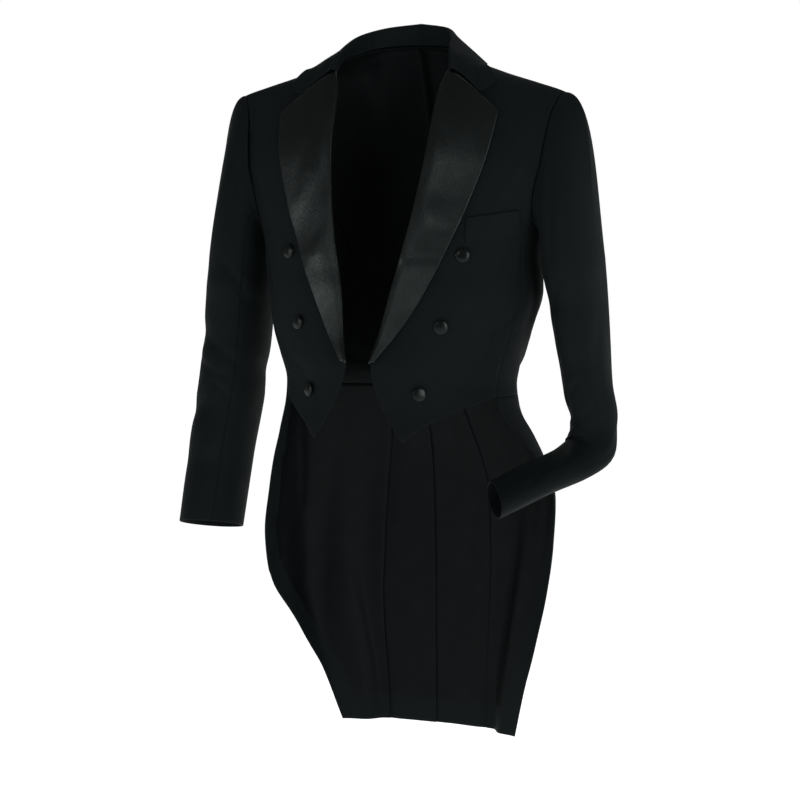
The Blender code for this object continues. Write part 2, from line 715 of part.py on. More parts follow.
def button(name, turn, level, side, gap):
    """A domed button covered in satin, its flat back seated just clear of the highest cloth under it."""
    middle, out = skin(turn, level, side), normal(turn, level, side)
    degree = math.radians(1) * math.hypot(middle[0], middle[1] - SIDE_Y)
    highest = 0.0
    footing = 0.85
    for k in range(8):
        around = math.radians(45 * k)
        near = skin(turn + footing * math.cos(around) / degree, level + footing * math.sin(around), side)
        highest = max(highest, float(np.dot(near - middle, out)))
    middle = middle + (highest + gap) * out
    # share of the radius and of the height up the button's side
    profile = [(0.0, 0.0), (0.62, 0.0), (1.0, 0.3), (0.94, 0.6), (0.62, 0.88), (0.0, 1.0)]
    sides = 14
    bm = bmesh.new()
    rings = []
    for share, height in profile:
        z = BUTTON_HEIGHT * height
        if share == 0.0:
            rings.append([bm.verts.new((0, 0, z))])
            continue
        ring = []
        for k in range(sides):
            angle = 2 * math.pi * k / sides
            across = BUTTON_RADIUS * share
            ring.append(bm.verts.new((across * math.cos(angle), across * math.sin(angle), z)))
        rings.append(ring)
    for low, high in zip(rings, rings[1:]):
        for k in range(sides):
            m = (k + 1) % sides
            corners = [low[k % len(low)], low[m % len(low)], high[m % len(high)], high[k % len(high)]]
            bm.faces.new(list(dict.fromkeys(corners)))
    bmesh.ops.triangulate(bm, faces=bm.faces)
    direction = Vector((0, 0, 1)).rotation_difference(Vector(out)).to_matrix().to_4x4()
    bmesh.ops.transform(bm, matrix=Matrix.Translation(Vector(middle)) @ direction, verts=bm.verts)
    finish(name, bm, SATIN)


for old in list(bpy.data.objects):
    bpy.data.objects.remove(old, do_unlink=True)

for side, word in ((1, "left"), (-1, "right")):
    front(side, "front_" + word)
    side_body(side, "side_" + word)
    back(side, "back_" + word)
    skirt(side, "skirt_" + word)
    lapel(side, "lapel_" + word)
    for number, (x, z) in enumerate(BUTTON_ROWS, start=1):
        turn, level = place(x, z)
        button("button_%s_%d" % (word, number), turn, level, side, BUTTON_GAP)
    button("back_button_" + word, smooth(BACK_SEAM, WAIST) - 1.0, WAIST + 0.4, side, BACK_BUTTON_GAP)

sleeve(1, SLEEVE_LEFT, CREASES_LEFT, "left")
sleeve(-1, SLEEVE_RIGHT, CREASES_RIGHT, "right")
collar("collar")
welt("breast_welt")
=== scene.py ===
import math

import bpy
import numpy as np
from mathutils import Matrix, Vector


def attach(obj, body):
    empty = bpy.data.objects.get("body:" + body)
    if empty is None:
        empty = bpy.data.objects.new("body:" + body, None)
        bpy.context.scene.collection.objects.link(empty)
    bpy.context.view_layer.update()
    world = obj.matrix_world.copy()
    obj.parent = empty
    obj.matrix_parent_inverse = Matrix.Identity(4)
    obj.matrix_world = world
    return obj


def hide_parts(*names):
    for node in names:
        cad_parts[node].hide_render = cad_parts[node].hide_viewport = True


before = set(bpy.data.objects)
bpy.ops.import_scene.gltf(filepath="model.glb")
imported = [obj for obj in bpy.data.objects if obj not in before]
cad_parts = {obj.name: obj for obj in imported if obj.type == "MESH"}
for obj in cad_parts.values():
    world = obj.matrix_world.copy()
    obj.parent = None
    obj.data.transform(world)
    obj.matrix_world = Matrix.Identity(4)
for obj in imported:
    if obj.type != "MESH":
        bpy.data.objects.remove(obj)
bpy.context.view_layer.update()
bpy.ops.object.select_all(action="DESELECT")


# The camera stands to the wearer's left of centre front and looks a little down, as the photograph does.
# A long lens from nearly four metres keeps shoulders, waist and tails in proportion.
camera_turn, camera_pitch = math.radians(25.0), math.radians(6.05)
camera_back = Vector((
    math.sin(camera_turn) * math.cos(camera_pitch),
    -math.cos(camera_turn) * math.cos(camera_pitch),
    math.sin(camera_pitch),
))
camera = bpy.data.objects.new("camera", bpy.data.cameras.new("camera"))
camera.data.sensor_width = 36.0
camera.data.lens = 123.0
camera.location = Vector((0.0, 0.0, -0.472)) + camera_back * 3.8
camera.rotation_euler = (-camera_back).to_track_quat("-Z", "Y").to_euler()
bpy.context.scene.collection.objects.link(camera)
bpy.context.scene.camera = camera


# The studio: a pale paper floor half a metre under the tails, and a white background.
# Cloth-covered lamps light the coat: a tall one to the left, two that the satin mirrors in front and to the right,
# one above and behind, and a strip behind each shoulder.
def linear(colour):
    """An sRGB hex colour as linear red, green, blue and full opacity."""
    parts = [int(colour[k:k + 2], 16) / 255 for k in (1, 3, 5)]
    return tuple(c / 12.92 if c <= 0.04045 else ((c + 0.055) / 1.055) ** 2.4 for c in parts) + (1.0,)


def add(tree, kind, inputs=None, **settings):
    """Add a node with its settings; each input is given a value or joined to an output."""
    made = tree.nodes.new(kind)
    for word, value in settings.items():
        setattr(made, word, value)
    for socket, source in (inputs or {}).items():
        if isinstance(source, bpy.types.NodeSocket):
            tree.links.new(source, made.inputs[socket])
        else:
            made.inputs[socket].default_value = source
    return made


bpy.ops.mesh.primitive_plane_add(size=24.0, location=(0.0, 0.0, -1.5))
floor = bpy.context.object
floor.name = floor.data.name = "paper_floor"
paper = bpy.data.materials.new("white_studio_paper")
paper.use_nodes = True
paper_shader = paper.node_tree.nodes["Principled BSDF"]
paper_shader.inputs["Base Color"].default_value = linear("#f4f4f2")
paper_shader.inputs["Roughness"].default_value = 0.9
paper_shader.inputs["Emission Color"].default_value = linear("#ffffff")
paper_shader.inputs["Emission Strength"].default_value = 0.88
floor.data.materials.append(paper)

studio = bpy.data.worlds.new("studio")
bpy.context.scene.world = studio
studio.use_nodes = True
studio.node_tree.nodes.clear()
ray = add(studio.node_tree, "ShaderNodeLightPath")
seen = add(studio.node_tree, "ShaderNodeBackground", {"Color": linear("#ffffff"), "Strength": 1.0})
lit = add(studio.node_tree, "ShaderNodeBackground", {"Color": linear("#f6fbff"), "Strength": 0.16})
both = add(studio.node_tree, "ShaderNodeMixShader", {0: ray.outputs["Is Camera Ray"], 1: lit.outputs[0],
                                                      2: seen.outputs[0]})
add(studio.node_tree, "ShaderNodeOutputWorld", {"Surface": both.outputs[0]})
bpy.context.scene.view_settings.view_transform = "Standard"

# place of the lamp, point it faces, width and height in metres, watts
for name, place_of, faces, wide, high, watts in (
    ("softbox_left", (2.9, -2.1, 0.25), (0.0, 0.0, -0.35), 1.3, 1.8, 54.0),
    ("softbox_right", (-2.5, -2.5, -0.05), (0.0, 0.0, -0.35), 1.1, 0.8, 15.0),
    ("softbox_front", (-0.4, -3.9, 0.95), (0.0, 0.0, -0.35), 1.3, 0.7, 12.0),
    ("softbox_top", (0.2, 0.9, 2.4), (0.0, 0.0, -0.2), 1.8, 1.2, 18.0),
    ("strip_behind_left", (2.2, 2.2, 0.6), (0.0, 0.0, -0.4), 0.5, 2.0, 9.0),
    ("strip_behind_right", (-2.2, 2.2, 0.6), (0.0, 0.0, -0.4), 0.5, 2.0, 9.0),
):
    lamp = bpy.data.objects.new(name, bpy.data.lights.new(name, "AREA"))
    lamp.data.shape = "RECTANGLE"
    lamp.data.size = wide
    lamp.data.size_y = high
    lamp.data.energy = watts
    lamp.location = place_of
    lamp.rotation_euler = (Vector(faces) - Vector(place_of)).to_track_quat("-Z", "Y").to_euler()
    bpy.context.scene.collection.objects.link(lamp)


# The foreparts: two worsted wool fronts on canvas, cut from the shoulder to the waist point and cut away below
# the break. A pressed dart shapes each waist. Shoulder and side seams are sewn and pressed open, and the front
# edge and hem are turned.
CM = 0.01
THICK = 0.20           # cloth, canvas and lining together, in centimetres
SEAM_ROUND = 0.05      # how far a seam's pressed edge rounds over
EDGE_ROUND = 0.09      # the same on a turned, free edge
SEAM_GAP = 0.008
CHEST = -27.0
SIDE_Y = 1.0
WAIST = -45.9
HEM = -95.6
SIDE_SEAM = 72.0
SHOULDER_NECK = 8.5
BACK_POINT = -17.6
RIGHT_DROP = 0.4       # how much lower the wearer's right shoulder is carried
CM_PER_DEGREE = 0.33   # cloth round the body for one degree of turn
FINER = 5              # rows and columns of cloth for each one of the solid

# level, half width on the wearer's left and right, depth in front and behind, squareness in front and behind
RINGS = [
    (0.0, 25.2, 25.2, 10.1, 11.0, 2.3, 2.3),
    (-10.0, 24.8, 24.8, 10.1, 11.0, 2.3, 2.3),
    (-16.9, 24.2, 24.2, 10.1, 11.0, 2.3, 2.3),
    (-21.2, 22.3, 22.3, 10.1, 11.0, 2.3, 2.3),
    (-24.5, 20.8, 20.8, 10.1, 11.0, 2.3, 2.3),
    (-27.0, 20.2, 20.2, 10.1, 11.0, 2.3, 2.3),
    (-31.4, 20.4, 19.9, 10.9, 10.6, 2.2, 2.3),
    (-37.5, 18.6, 19.1, 12.3, 9.6, 1.95, 2.3),
    (-41.0, 17.5, 18.1, 13.4, 8.9, 1.8, 2.3),
    (-44.5, 16.7, 17.2, 14.0, 8.5, 1.7, 2.3),
    (-47.5, 17.0, 17.5, 14.6, 9.2, 1.65, 2.35),
    (-52.0, 19.0, 18.6, 15.6, 11.0, 1.65, 2.4),
    (-56.0, 20.8, 19.6, 15.0, 12.2, 1.8, 2.5),
    (-60.5, 21.8, 20.4, 13.5, 12.9, 2.0, 2.6),
    (-67.5, 21.2, 21.3, 12.0, 13.4, 2.2, 2.6),
    (-74.6, 19.9, 21.2, 11.5, 13.6, 2.3, 2.6),
    (-81.7, 18.2, 19.7, 11.0, 13.6, 2.3, 2.6),
    (-88.0, 16.9, 17.6, 11.0, 13.6, 2.3, 2.6),
    (-96.0, 15.8, 15.7, 11.0, 13.6, 2.3, 2.6),
]
# distance from the centre, height and depth of the shoulder seam, which runs on round the back of the neck
SHOULDER = [
    (0.0, 1.7, 6.5), (3.0, 1.6, 6.2), (6.0, 1.2, 4.8), (7.6, 0.3, 1.6), (8.6, -0.1, 0.0),
    (12.0, -0.9, 0.0), (16.0, -2.2, 0.2), (20.5, -3.5, 0.4), (24.5, -4.8, 0.5), (26.3, -6.0, 0.5),
]
# turn over the shoulder, share of the chest's depth kept in front and behind
YOKE = [
    (0.0, 1.0, 1.0), (15.0, 0.88, 1.04), (26.0, 0.77, 1.05), (34.0, 0.69, 1.02), (45.0, 0.555, 0.91),
    (54.0, 0.44, 0.79), (71.0, 0.22, 0.52), (90.0, 0.0, 0.0),
]
# level, turn of the armhole's front edge and of its back edge
ARMHOLE = [
    (0.0, 73.5, 106.5), (-6.0, 67.5, 112.0), (-12.0, 64.0, 115.0), (-17.6, 63.5, 115.0),
    (-21.0, 67.5, 110.5), (-23.4, 76.0, 102.5), (-24.6, 90.0, 90.0),
]
# distance from the centre and height of the roll line and the cutaway edge below it
FRONT_EDGE = [
    (8.6, -0.1), (8.6, -1.9), (7.8, -5.3), (7.4, -12.0), (6.25, -20.3), (3.9, -31.4),
    (2.6, -38.0), (1.8, -41.0), (2.1, -43.0), (3.3, -46.0), (4.8, -48.6), (6.7, -51.4),
]
# distance from the centre and height of the forepart's lower edge, from its point to the side seam
FRONT_HEM = [(6.7, -51.4), (8.75, -49.5), (12.1, -47.5), (14.3, -46.5), (15.7, -45.9)]
# side, turn, width in degrees and depth in centimetres of the soft flutes in the tails
FLUTES = [
    (1, 118.0, 9.0, 0.7), (1, 140.0, 7.0, -0.8), (1, 155.0, 6.0, 0.6),
    (-1, 104.0, 8.0, -0.5), (-1, 124.0, 9.0, 0.8), (-1, 142.0, 7.0, -0.7), (-1, 156.0, 6.0, 0.5),
]
# side (0 for both), turn, level, slant off upright, half length, half width, bow and depth of each soft fold
BODY_FOLDS = [
    (1, 61.0, -13.5, 6.0, 8.5, 1.5, 0.7, -0.26),
    (1, 50.0, -20.5, -14.0, 5.5, 1.3, -0.5, 0.12),
    (1, 56.0, -31.0, -38.0, 5.5, 1.0, 0.6, -0.15),
    (1, 63.0, -36.5, -52.0, 4.4, 0.8, 0.4, -0.12),
    (1, 42.0, -42.0, -66.0, 4.6, 0.8, 0.4, -0.09),
    (1, 60.0, -44.2, 80.0, 4.8, 0.7, 0.3, -0.11),
    (1, 24.0, -45.5, -30.0, 3.2, 0.9, 0.2, -0.07),
    (1, 84.0, -30.0, 12.0, 7.0, 1.4, 0.6, -0.20),
    (1, 97.0, -37.5, 34.0, 6.0, 1.1, -0.5, 0.16),
    (1, 108.0, -42.5, 68.0, 5.2, 0.8, 0.3, -0.14),
    (1, 119.0, -14.0, 6.0, 9.5, 1.6, -0.9, 0.26),
    (1, 130.0, -21.0, 12.0, 7.5, 1.3, 0.6, -0.20),
    (1, 146.0, -31.5, 28.0, 6.8, 1.2, 0.5, -0.15),
    (1, 155.0, -41.0, 72.0, 4.6, 0.8, 0.3, -0.13),
    (1, 139.0, -45.0, 84.0, 5.4, 0.7, 0.3, -0.12),
    (1, 104.0, -51.5, 40.0, 4.4, 0.9, 0.3, 0.13),
    (1, 131.0, -62.0, 5.0, 9.5, 1.4, 0.6, -0.18),
    (1, 147.0, -77.0, -4.0, 12.0, 1.5, 0.6, 0.20),
    (1, 171.0, -70.0, 3.0, 11.0, 1.2, 0.4, 0.16),
    (-1, 61.5, -12.0, 8.0, 7.5, 1.6, 0.6, -0.28),
    (-1, 47.0, -24.0, -18.0, 6.2, 1.2, 0.5, 0.12),
    (-1, 60.0, -29.0, -30.0, 5.0, 1.1, 0.5, -0.16),
    (-1, 52.0, -40.0, -58.0, 5.0, 0.9, 0.4, -0.11),
    (-1, 33.0, -44.0, -48.0, 3.6, 0.8, 0.3, -0.08),
    (-1, 86.0, -33.0, 8.0, 6.4, 1.3, -0.5, -0.18),
    (-1, 100.0, -40.5, 56.0, 5.6, 0.9, 0.4, -0.14),
    (-1, 117.0, -12.0, 4.0, 8.6, 1.6, 0.8, 0.24),
    (-1, 128.0, -23.0, 16.0, 8.2, 1.4, 0.6, -0.21),
    (-1, 143.0, -35.0, 38.0, 6.0, 1.1, -0.4, 0.13),
    (-1, 150.0, -43.5, 76.0, 5.0, 0.8, 0.3, -0.14),
    (-1, 112.0, -57.0, 16.0, 7.0, 1.2, 0.5, -0.15),
    (-1, 133.0, -69.0, -3.0, 12.0, 1.5, 0.5, 0.18),
    (-1, 149.0, -83.0, 4.0, 9.0, 1.2, 0.4, -0.16),
    (-1, 170.0, -61.0, -3.0, 9.0, 1.2, 0.3, -0.13),
    (0, 180.0, -4.6, 90.0, 6.2, 0.9, 0.8, -0.12),
    (0, 180.0, -43.6, 90.0, 5.6, 0.8, 0.5, -0.10),
]


def read(table, at, column=1):
    """Read one column of a table at each value, by a smooth curve through its rows that never overshoots them."""
    rows = np.array(table, dtype=float)
    rows = rows[np.argsort(rows[:, 0])]
    xs, ys = rows[:, 0], rows[:, column]
    at = np.clip(at, xs[0], xs[-1])
    slope = np.diff(ys) / np.diff(xs)
    tangent = np.concatenate([slope[:1], np.zeros(len(xs) - 2), slope[-1:]])
    same_way = slope[:-1] * slope[1:] > 0
    before, after = slope[:-1][same_way], slope[1:][same_way]
    tangent[1:-1][same_way] = 2 * before * after / (before + after)
    i = np.clip(np.searchsorted(xs, at, side="right") - 1, 0, len(xs) - 2)
    step = xs[i + 1] - xs[i]
    f = (at - xs[i]) / step
    return (
        (1 + 2 * f) * (1 - f) ** 2 * ys[i]
        + f * (1 - f) ** 2 * step * tangent[i]
        + f * f * (3 - 2 * f) * ys[i + 1]
        + f * f * (f - 1) * step * tangent[i + 1]
    )


def along(points, share):
    """Points at shares, 0 to 1, of the length of a smooth curve through the given points."""
    points = np.array(points, dtype=float)
    length = np.concatenate([[0.0], np.cumsum(np.linalg.norm(np.diff(points, axis=0), axis=1))])
    at = length / length[-1]
    return np.stack([read(np.column_stack([at, points[:, k]]), share) for k in range(points.shape[1])], axis=-1)


def ramp(x, start, end):
    """0 at start, 1 at end, with soft ends."""
    f = np.clip((x - start) / (end - start), 0.0, 1.0)
    return f * f * (3 - 2 * f)


def unit(arrows):
    """The same directions at length one."""
    return arrows / np.maximum(np.linalg.norm(arrows, axis=-1, keepdims=True), 1e-9)


def shoulder_height(x, side):
    """Height of the shoulder seam at distances from the centre."""
    return read(SHOULDER, x, 1) - (RIGHT_DROP * ramp(x, 7.0, 14.0) if side < 0 else 0.0)


def skin(turn, level, side):
    """Points of the coat's outer face in centimetres. Turn is 0 in front, 90 at the side and 180 behind."""
    past_back = np.where(turn > 180.0, -1.0, 1.0)
    turn = np.where(turn > 180.0, 360.0 - turn, turn)
    behind = turn > 90.0
    width = read(RINGS, level, 1 if side > 0 else 2)
    depth = np.where(behind, read(RINGS, level, 4), read(RINGS, level, 3))
    square = np.where(behind, read(RINGS, level, 6), read(RINGS, level, 5))
    angle = np.radians(np.where(behind, 180.0 - turn, turn))
    x = width * np.maximum(np.sin(angle), 0.0) ** (2 / square)
    reach = np.maximum(np.cos(angle), 0.0) ** (2 / square)
    y = np.where(behind, SIDE_Y + (depth - SIDE_Y) * reach, SIDE_Y - (depth + SIDE_Y) * reach)
    over = 90.0 * (level - CHEST) / -CHEST
    keep = np.where(behind, read(YOKE, over, 2), read(YOKE, over, 1))
    rounded = read(SHOULDER, x, 2) * np.maximum(1 - keep, 0.0) ** 1.5 + y * keep
    y = np.where(level > CHEST, rounded, y)
    raised = CHEST + (shoulder_height(x, side) - CHEST) * np.sin(np.radians(over))
    z = np.where(level > CHEST, raised, level)
    out = np.zeros_like(x)
    for flute_side, middle, wide, deep in FLUTES:
        if flute_side == side:
            out = out + deep * np.exp(-(((turn - middle) / wide) ** 2))
    out = out * ramp(level, -50.0, -78.0)
    away = np.maximum(np.hypot(x, y - SIDE_Y), 0.1)
    return np.stack([side * past_back * (x + out * x / away), y + out * (y - SIDE_Y) / away, z], axis=-1)


def facing(turn, level, side):
    """The outer face's outward direction. Near the shoulder seam front and back share one direction."""
    step = 0.6

    def plain(turn, level):
        level = np.minimum(level, -0.02 - step)
        around = skin(turn + step, level, side) - skin(np.maximum(turn - step, 0.0), level, side)
        up = skin(turn, level + step, side) - skin(turn, level - step, side)
        return unit(side * np.cross(around, up))

    shared = unit(plain(turn, np.zeros_like(level)) + plain(180.0 - turn, np.zeros_like(level)))
    on_seam = ramp(level, -1.6, 0.0) * (np.abs(skin(turn, level, side)[..., 0]) > SHOULDER_NECK)
    return unit(plain(turn, level) * (1 - on_seam[..., None]) + shared * on_seam[..., None])


def soft_fold(across, down, slant, half_long, half_wide, bow, depth):
    """Height of one soft fold: a trough or ridge that fades at both ends and has a low swell along one side."""
    c, s = math.cos(math.radians(slant)), math.sin(math.radians(slant))
    run = across * s + down * c
    off = across * c - down * s + bow * (run / half_long) ** 2
    swell = 0.35 * np.exp(-(((off - 1.7 * half_wide) / (1.2 * half_wide)) ** 2))
    return depth * np.exp(-((run / half_long) ** 4)) * (np.exp(-((off / half_wide) ** 2)) - swell)


def body_folds(turn, level, side):
    """Height of all the folds in the coat's body at a turn and level."""
    high = np.zeros_like(turn)
    from_back = 1 - np.exp(-(((180.0 - turn) / 5.0) ** 2))
    for fold_side, at_turn, at_level, slant, half_long, half_wide, bow, depth in BODY_FOLDS:
        across, down = (turn - at_turn) * CM_PER_DEGREE, at_level - level
        if fold_side == side:
            high = high + from_back * soft_fold(across, down, slant, half_long, half_wide, bow, depth)
        if fold_side == 0:
            high = high + soft_fold(across, down, slant, half_long, half_wide, bow, depth)
    return high


def place(x, z, behind=False):
    """Turn and level of the skin's points at distances from the centre and heights."""
    rise = np.clip((z - CHEST) / (read(SHOULDER, x, 1) - CHEST), -1.0, 1.0)
    level = np.where(z > CHEST, CHEST - CHEST * np.degrees(np.arcsin(rise)) / 90.0, z)
    power = read(RINGS, level, 6 if behind else 5) / 2
    turn = np.degrees(np.arcsin(np.minimum(x / read(RINGS, level, 1), 1.0) ** power))
    return np.stack([180.0 - turn if behind else turn, level], axis=-1)


def drawn(rows, count):
    """A panel's edge from a table of distance from the centre and height."""
    spots = along(rows, np.linspace(0.0, 1.0, count + 1))
    return place(spots[:, 0], spots[:, 1])


def by_level(table, start, end, count, column=1):
    """A panel's edge from a table of turn by level, between two levels."""
    levels = np.linspace(start, end, count + 1)
    return np.stack([read(table, levels, column), levels], axis=-1)


def straight(start, end, count):
    """A panel's edge straight across turn and level."""
    return np.linspace(np.array(start, dtype=float), np.array(end, dtype=float), count + 1)


def patch(first, last, bottom, top, across=None):
    """Turn and level of a grid between four edges: end columns, bottom row and top row."""
    if across is None:
        across = np.linspace(0.0, 1.0, len(bottom))
    even = np.linspace(0.0, 1.0, len(bottom))
    bottom = np.stack([np.interp(across, even, bottom[:, k]) for k in (0, 1)], axis=-1)
    top = np.stack([np.interp(across, even, top[:, k]) for k in (0, 1)], axis=-1)
    u, v = across[:, None, None], np.linspace(0.0, 1.0, len(first))[None, :, None]
    sides = (1 - u) * first[None] + u * last[None]
    ends = (1 - v) * bottom[:, None] + v * top[:, None]
    plane = (1 - u) * ((1 - v) * first[0] + v * first[-1]) + u * ((1 - v) * last[0] + v * last[-1])
    return sides + ends - plane


def armhole_level(turn):
    """Level of the armhole's lower front edge at a turn."""
    return read([(row[1], row[0]) for row in ARMHOLE[3:]], turn)


def sheet(name, face, out, free, outside, inside, thick=THICK, facing_wide=3.0):
    """A closed sheet of cloth: a grid of points for its outer face, an inner face and a rounded rim between them.

    Edges named in free are turned edges, with cloth carried a facing's width inside. The others meet in seams, pressed
    outside and flush inside, where the lining runs on."""
    face = face.copy()
    ends = {"first": (0, 0, 1), "last": (0, -1, -2), "bottom": (1, 0, 1), "top": (1, -1, -2)}
    columns, rows = face.shape[:2]
    rounding = np.zeros((columns, rows))
    flush = np.zeros((columns, rows))
    outward = np.zeros_like(face)
    for edge, (axis, end, within) in ends.items():
        by = EDGE_ROUND if edge in free else SEAM_ROUND
        here, there = np.take(face, end, axis=axis), np.take(face, within, axis=axis)
        length = np.linalg.norm(there - here, axis=1)
        step = np.minimum(by + (0.0 if edge in free else SEAM_GAP), 0.45 * length)
        moved = here + unit(there - here) * step[:, None]
        where = (end, slice(None)) if axis == 0 else (slice(None), end)
        face[where] = moved
        outward[where] += unit(here - there)
        rounding[where] = np.maximum(rounding[where], step - 0.15 * SEAM_GAP)
        if edge not in free:
            flush[where] = np.maximum(flush[where], step + 0.5 * SEAM_GAP)
    inner = face - thick * out + unit(outward) * flush[..., None]
    ring = [(i, 0) for i in range(columns)] + [(columns - 1, j) for j in range(1, rows)]
    ring += [(i, rows - 1) for i in range(columns - 2, -1, -1)] + [(0, j) for j in range(rows - 2, 0, -1)]
    ri, rj = np.array([spot[0] for spot in ring]), np.array([spot[1] for spot in ring])
    rim = []
    for angle in (45.0, 90.0, 135.0):
        c, s = math.cos(math.radians(angle)), math.sin(math.radians(angle))
        reach = rounding[ri, rj] * s
        if angle > 90.0:
            reach = np.maximum(reach, flush[ri, rj])
        away = unit(outward[ri, rj]) * reach[:, None]
        rim.append(face[ri, rj] - out[ri, rj] * thick * (1 - c) / 2 + away)
    count = columns * rows
    number = np.arange(count).reshape(columns, rows)
    quads = np.stack([number[:-1, :-1], number[1:, :-1], number[1:, 1:], number[:-1, 1:]], axis=-1).reshape(-1, 4)
    loops = [number[ri, rj]] + [2 * count + k * len(ring) + np.arange(len(ring)) for k in range(3)]
    loops.append(number[ri, rj] + count)
    round_faces = [np.stack([a, b, np.roll(b, -1), np.roll(a, -1)], axis=-1) for a, b in zip(loops, loops[1:])]
    faces = np.concatenate([quads, (quads + count)[:, ::-1]] + [r for r in round_faces])
    verts = np.concatenate([face.reshape(-1, 3), inner.reshape(-1, 3)] + rim) * CM

    # cloth is measured along the grid both ways, in metres, so that its weave keeps one scale
    widths = np.linalg.norm(np.diff(face, axis=0), axis=2)
    lengths = np.linalg.norm(np.diff(face, axis=1), axis=2)
    u = np.concatenate([np.zeros((1, rows)), np.cumsum(widths, axis=0)])
    u = u - u[columns // 2]
    v = np.concatenate([np.zeros((columns, 1)), np.cumsum(lengths, axis=1)], axis=1)
    grain = np.stack([u, v], axis=-1) * CM
    grains = np.concatenate([grain.reshape(-1, 2)] * 2 + [grain[ri, rj]] * 3)

    # how far each inner quad lies from the nearest free edge, to carry the facing round it
    from_free = np.full((columns, rows), 1e3)
    if "first" in free:
        from_free = np.minimum(from_free, u - u[0])
    if "last" in free:
        from_free = np.minimum(from_free, u[-1] - u)
    if "bottom" in free:
        from_free = np.minimum(from_free, v)
    if "top" in free:
        from_free = np.minimum(from_free, v[:, -1:] - v)
    lined = (from_free[:-1, :-1] > facing_wide).reshape(-1)
    slots = np.concatenate([np.zeros(len(quads), int), lined.astype(int), np.zeros(4 * len(ring), int)])

    a, b, c = verts[quads[0][0]], verts[quads[0][1]], verts[quads[0][3]]
    if np.dot(np.cross(b - a, c - a), out[0, 0]) < 0:
        faces = faces[:, ::-1]
    mesh = bpy.data.meshes.new(name)
    mesh.from_pydata(verts.tolist(), [], faces.tolist())
    mesh.materials.append(outside)
    mesh.materials.append(inside)
    mesh.polygons.foreach_set("material_index", slots.astype(np.int32))
    layer = mesh.uv_layers.new(name="grain")
    corner = np.zeros(len(mesh.loops), dtype=np.int32)
    mesh.loops.foreach_get("vertex_index", corner)
    layer.data.foreach_set("uv", grains[corner].astype(np.float32).ravel())
    mesh.update()
    mesh.shade_smooth()
    thing = bpy.data.objects.new(name, mesh)
    bpy.context.scene.collection.objects.link(thing)
    return thing


def panel(name, places, side, free, outside, inside, extra=0.0, lift=0.0):
    """A panel of the coat over a grid of turns and levels, with the coat's folds in it."""
    turn, level = places[..., 0], places[..., 1]
    out = facing(turn, level, side)
    face = skin(turn, level, side) + out * (body_folds(turn, level, side) + extra + lift)[..., None]
    return sheet(name, face, out, free, outside, inside)


def dress(piece, node):
    """Fix a finished piece to the coat in place of its solid."""
    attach(piece, "root")
    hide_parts(node)


# Worsted wool barathea, woven and pressed: nearly black, dry and matt, with a fine twill that breaks up its few
# lights and a short nap that lifts the tone a little where the cloth turns away. The twill is 0.6 mm from ridge
# to ridge on the real cloth, and is drawn at 1.3 mm, because a finer one would not show.
wool = bpy.data.materials.new("worsted_wool_barathea")
wool.use_nodes = True
tree = wool.node_tree
grain_of = add(tree, "ShaderNodeUVMap", uv_map="grain")
twill_way = add(tree, "ShaderNodeMapping", {"Vector": grain_of.outputs[0], "Rotation": (0.0, 0.0, math.radians(27.0))})
twill = add(tree, "ShaderNodeTexWave", {"Vector": twill_way.outputs[0], "Scale": 0.314 / 0.0013, "Distortion": 1.1,
                                        "Detail": 1.0, "Detail Scale": 1.6}, wave_type="BANDS", bands_direction="X")
yarn = add(tree, "ShaderNodeTexNoise", {"Vector": grain_of.outputs[0], "Scale": 1 / 0.0021, "Detail": 2.0,
                                        "Roughness": 0.6})
pressed = add(tree, "ShaderNodeTexNoise", {"Vector": grain_of.outputs[0], "Scale": 1 / 0.045, "Detail": 3.0,
                                           "Roughness": 0.55})
mottle = add(tree, "ShaderNodeMix", {"Factor": 0.35, "A": yarn.outputs["Fac"], "B": pressed.outputs["Fac"]},
             data_type="FLOAT")
tone = add(tree, "ShaderNodeValToRGB", {"Fac": mottle.outputs[0]})
tone.color_ramp.elements[0].position = 0.30
tone.color_ramp.elements[0].color = linear("#07090a")
tone.color_ramp.elements[1].position = 0.72
tone.color_ramp.elements[1].color = linear("#0f1415")
dryness = add(tree, "ShaderNodeMapRange", {"Value": pressed.outputs["Fac"], "From Min": 0.3, "From Max": 0.7,
                                           "To Min": 0.66, "To Max": 0.80})
relief = add(tree, "ShaderNodeMix", {"Factor": 0.45, "A": twill.outputs["Fac"], "B": yarn.outputs["Fac"]},
             data_type="FLOAT")
bump = add(tree, "ShaderNodeBump", {"Height": relief.outputs[0], "Strength": 0.45, "Distance": 0.00035})
shader = tree.nodes["Principled BSDF"]
tree.links.new(tone.outputs["Color"], shader.inputs["Base Color"])
tree.links.new(dryness.outputs[0], shader.inputs["Roughness"])
tree.links.new(bump.outputs[0], shader.inputs["Normal"])
shader.inputs["Specular IOR Level"].default_value = 0.09
shader.inputs["Sheen Weight"].default_value = 0.025
shader.inputs["Sheen Roughness"].default_value = 0.45
shader.inputs["Sheen Tint"].default_value = linear("#90a1a1")
shader.inputs["Specular Tint"].default_value = linear("#dce8e9")

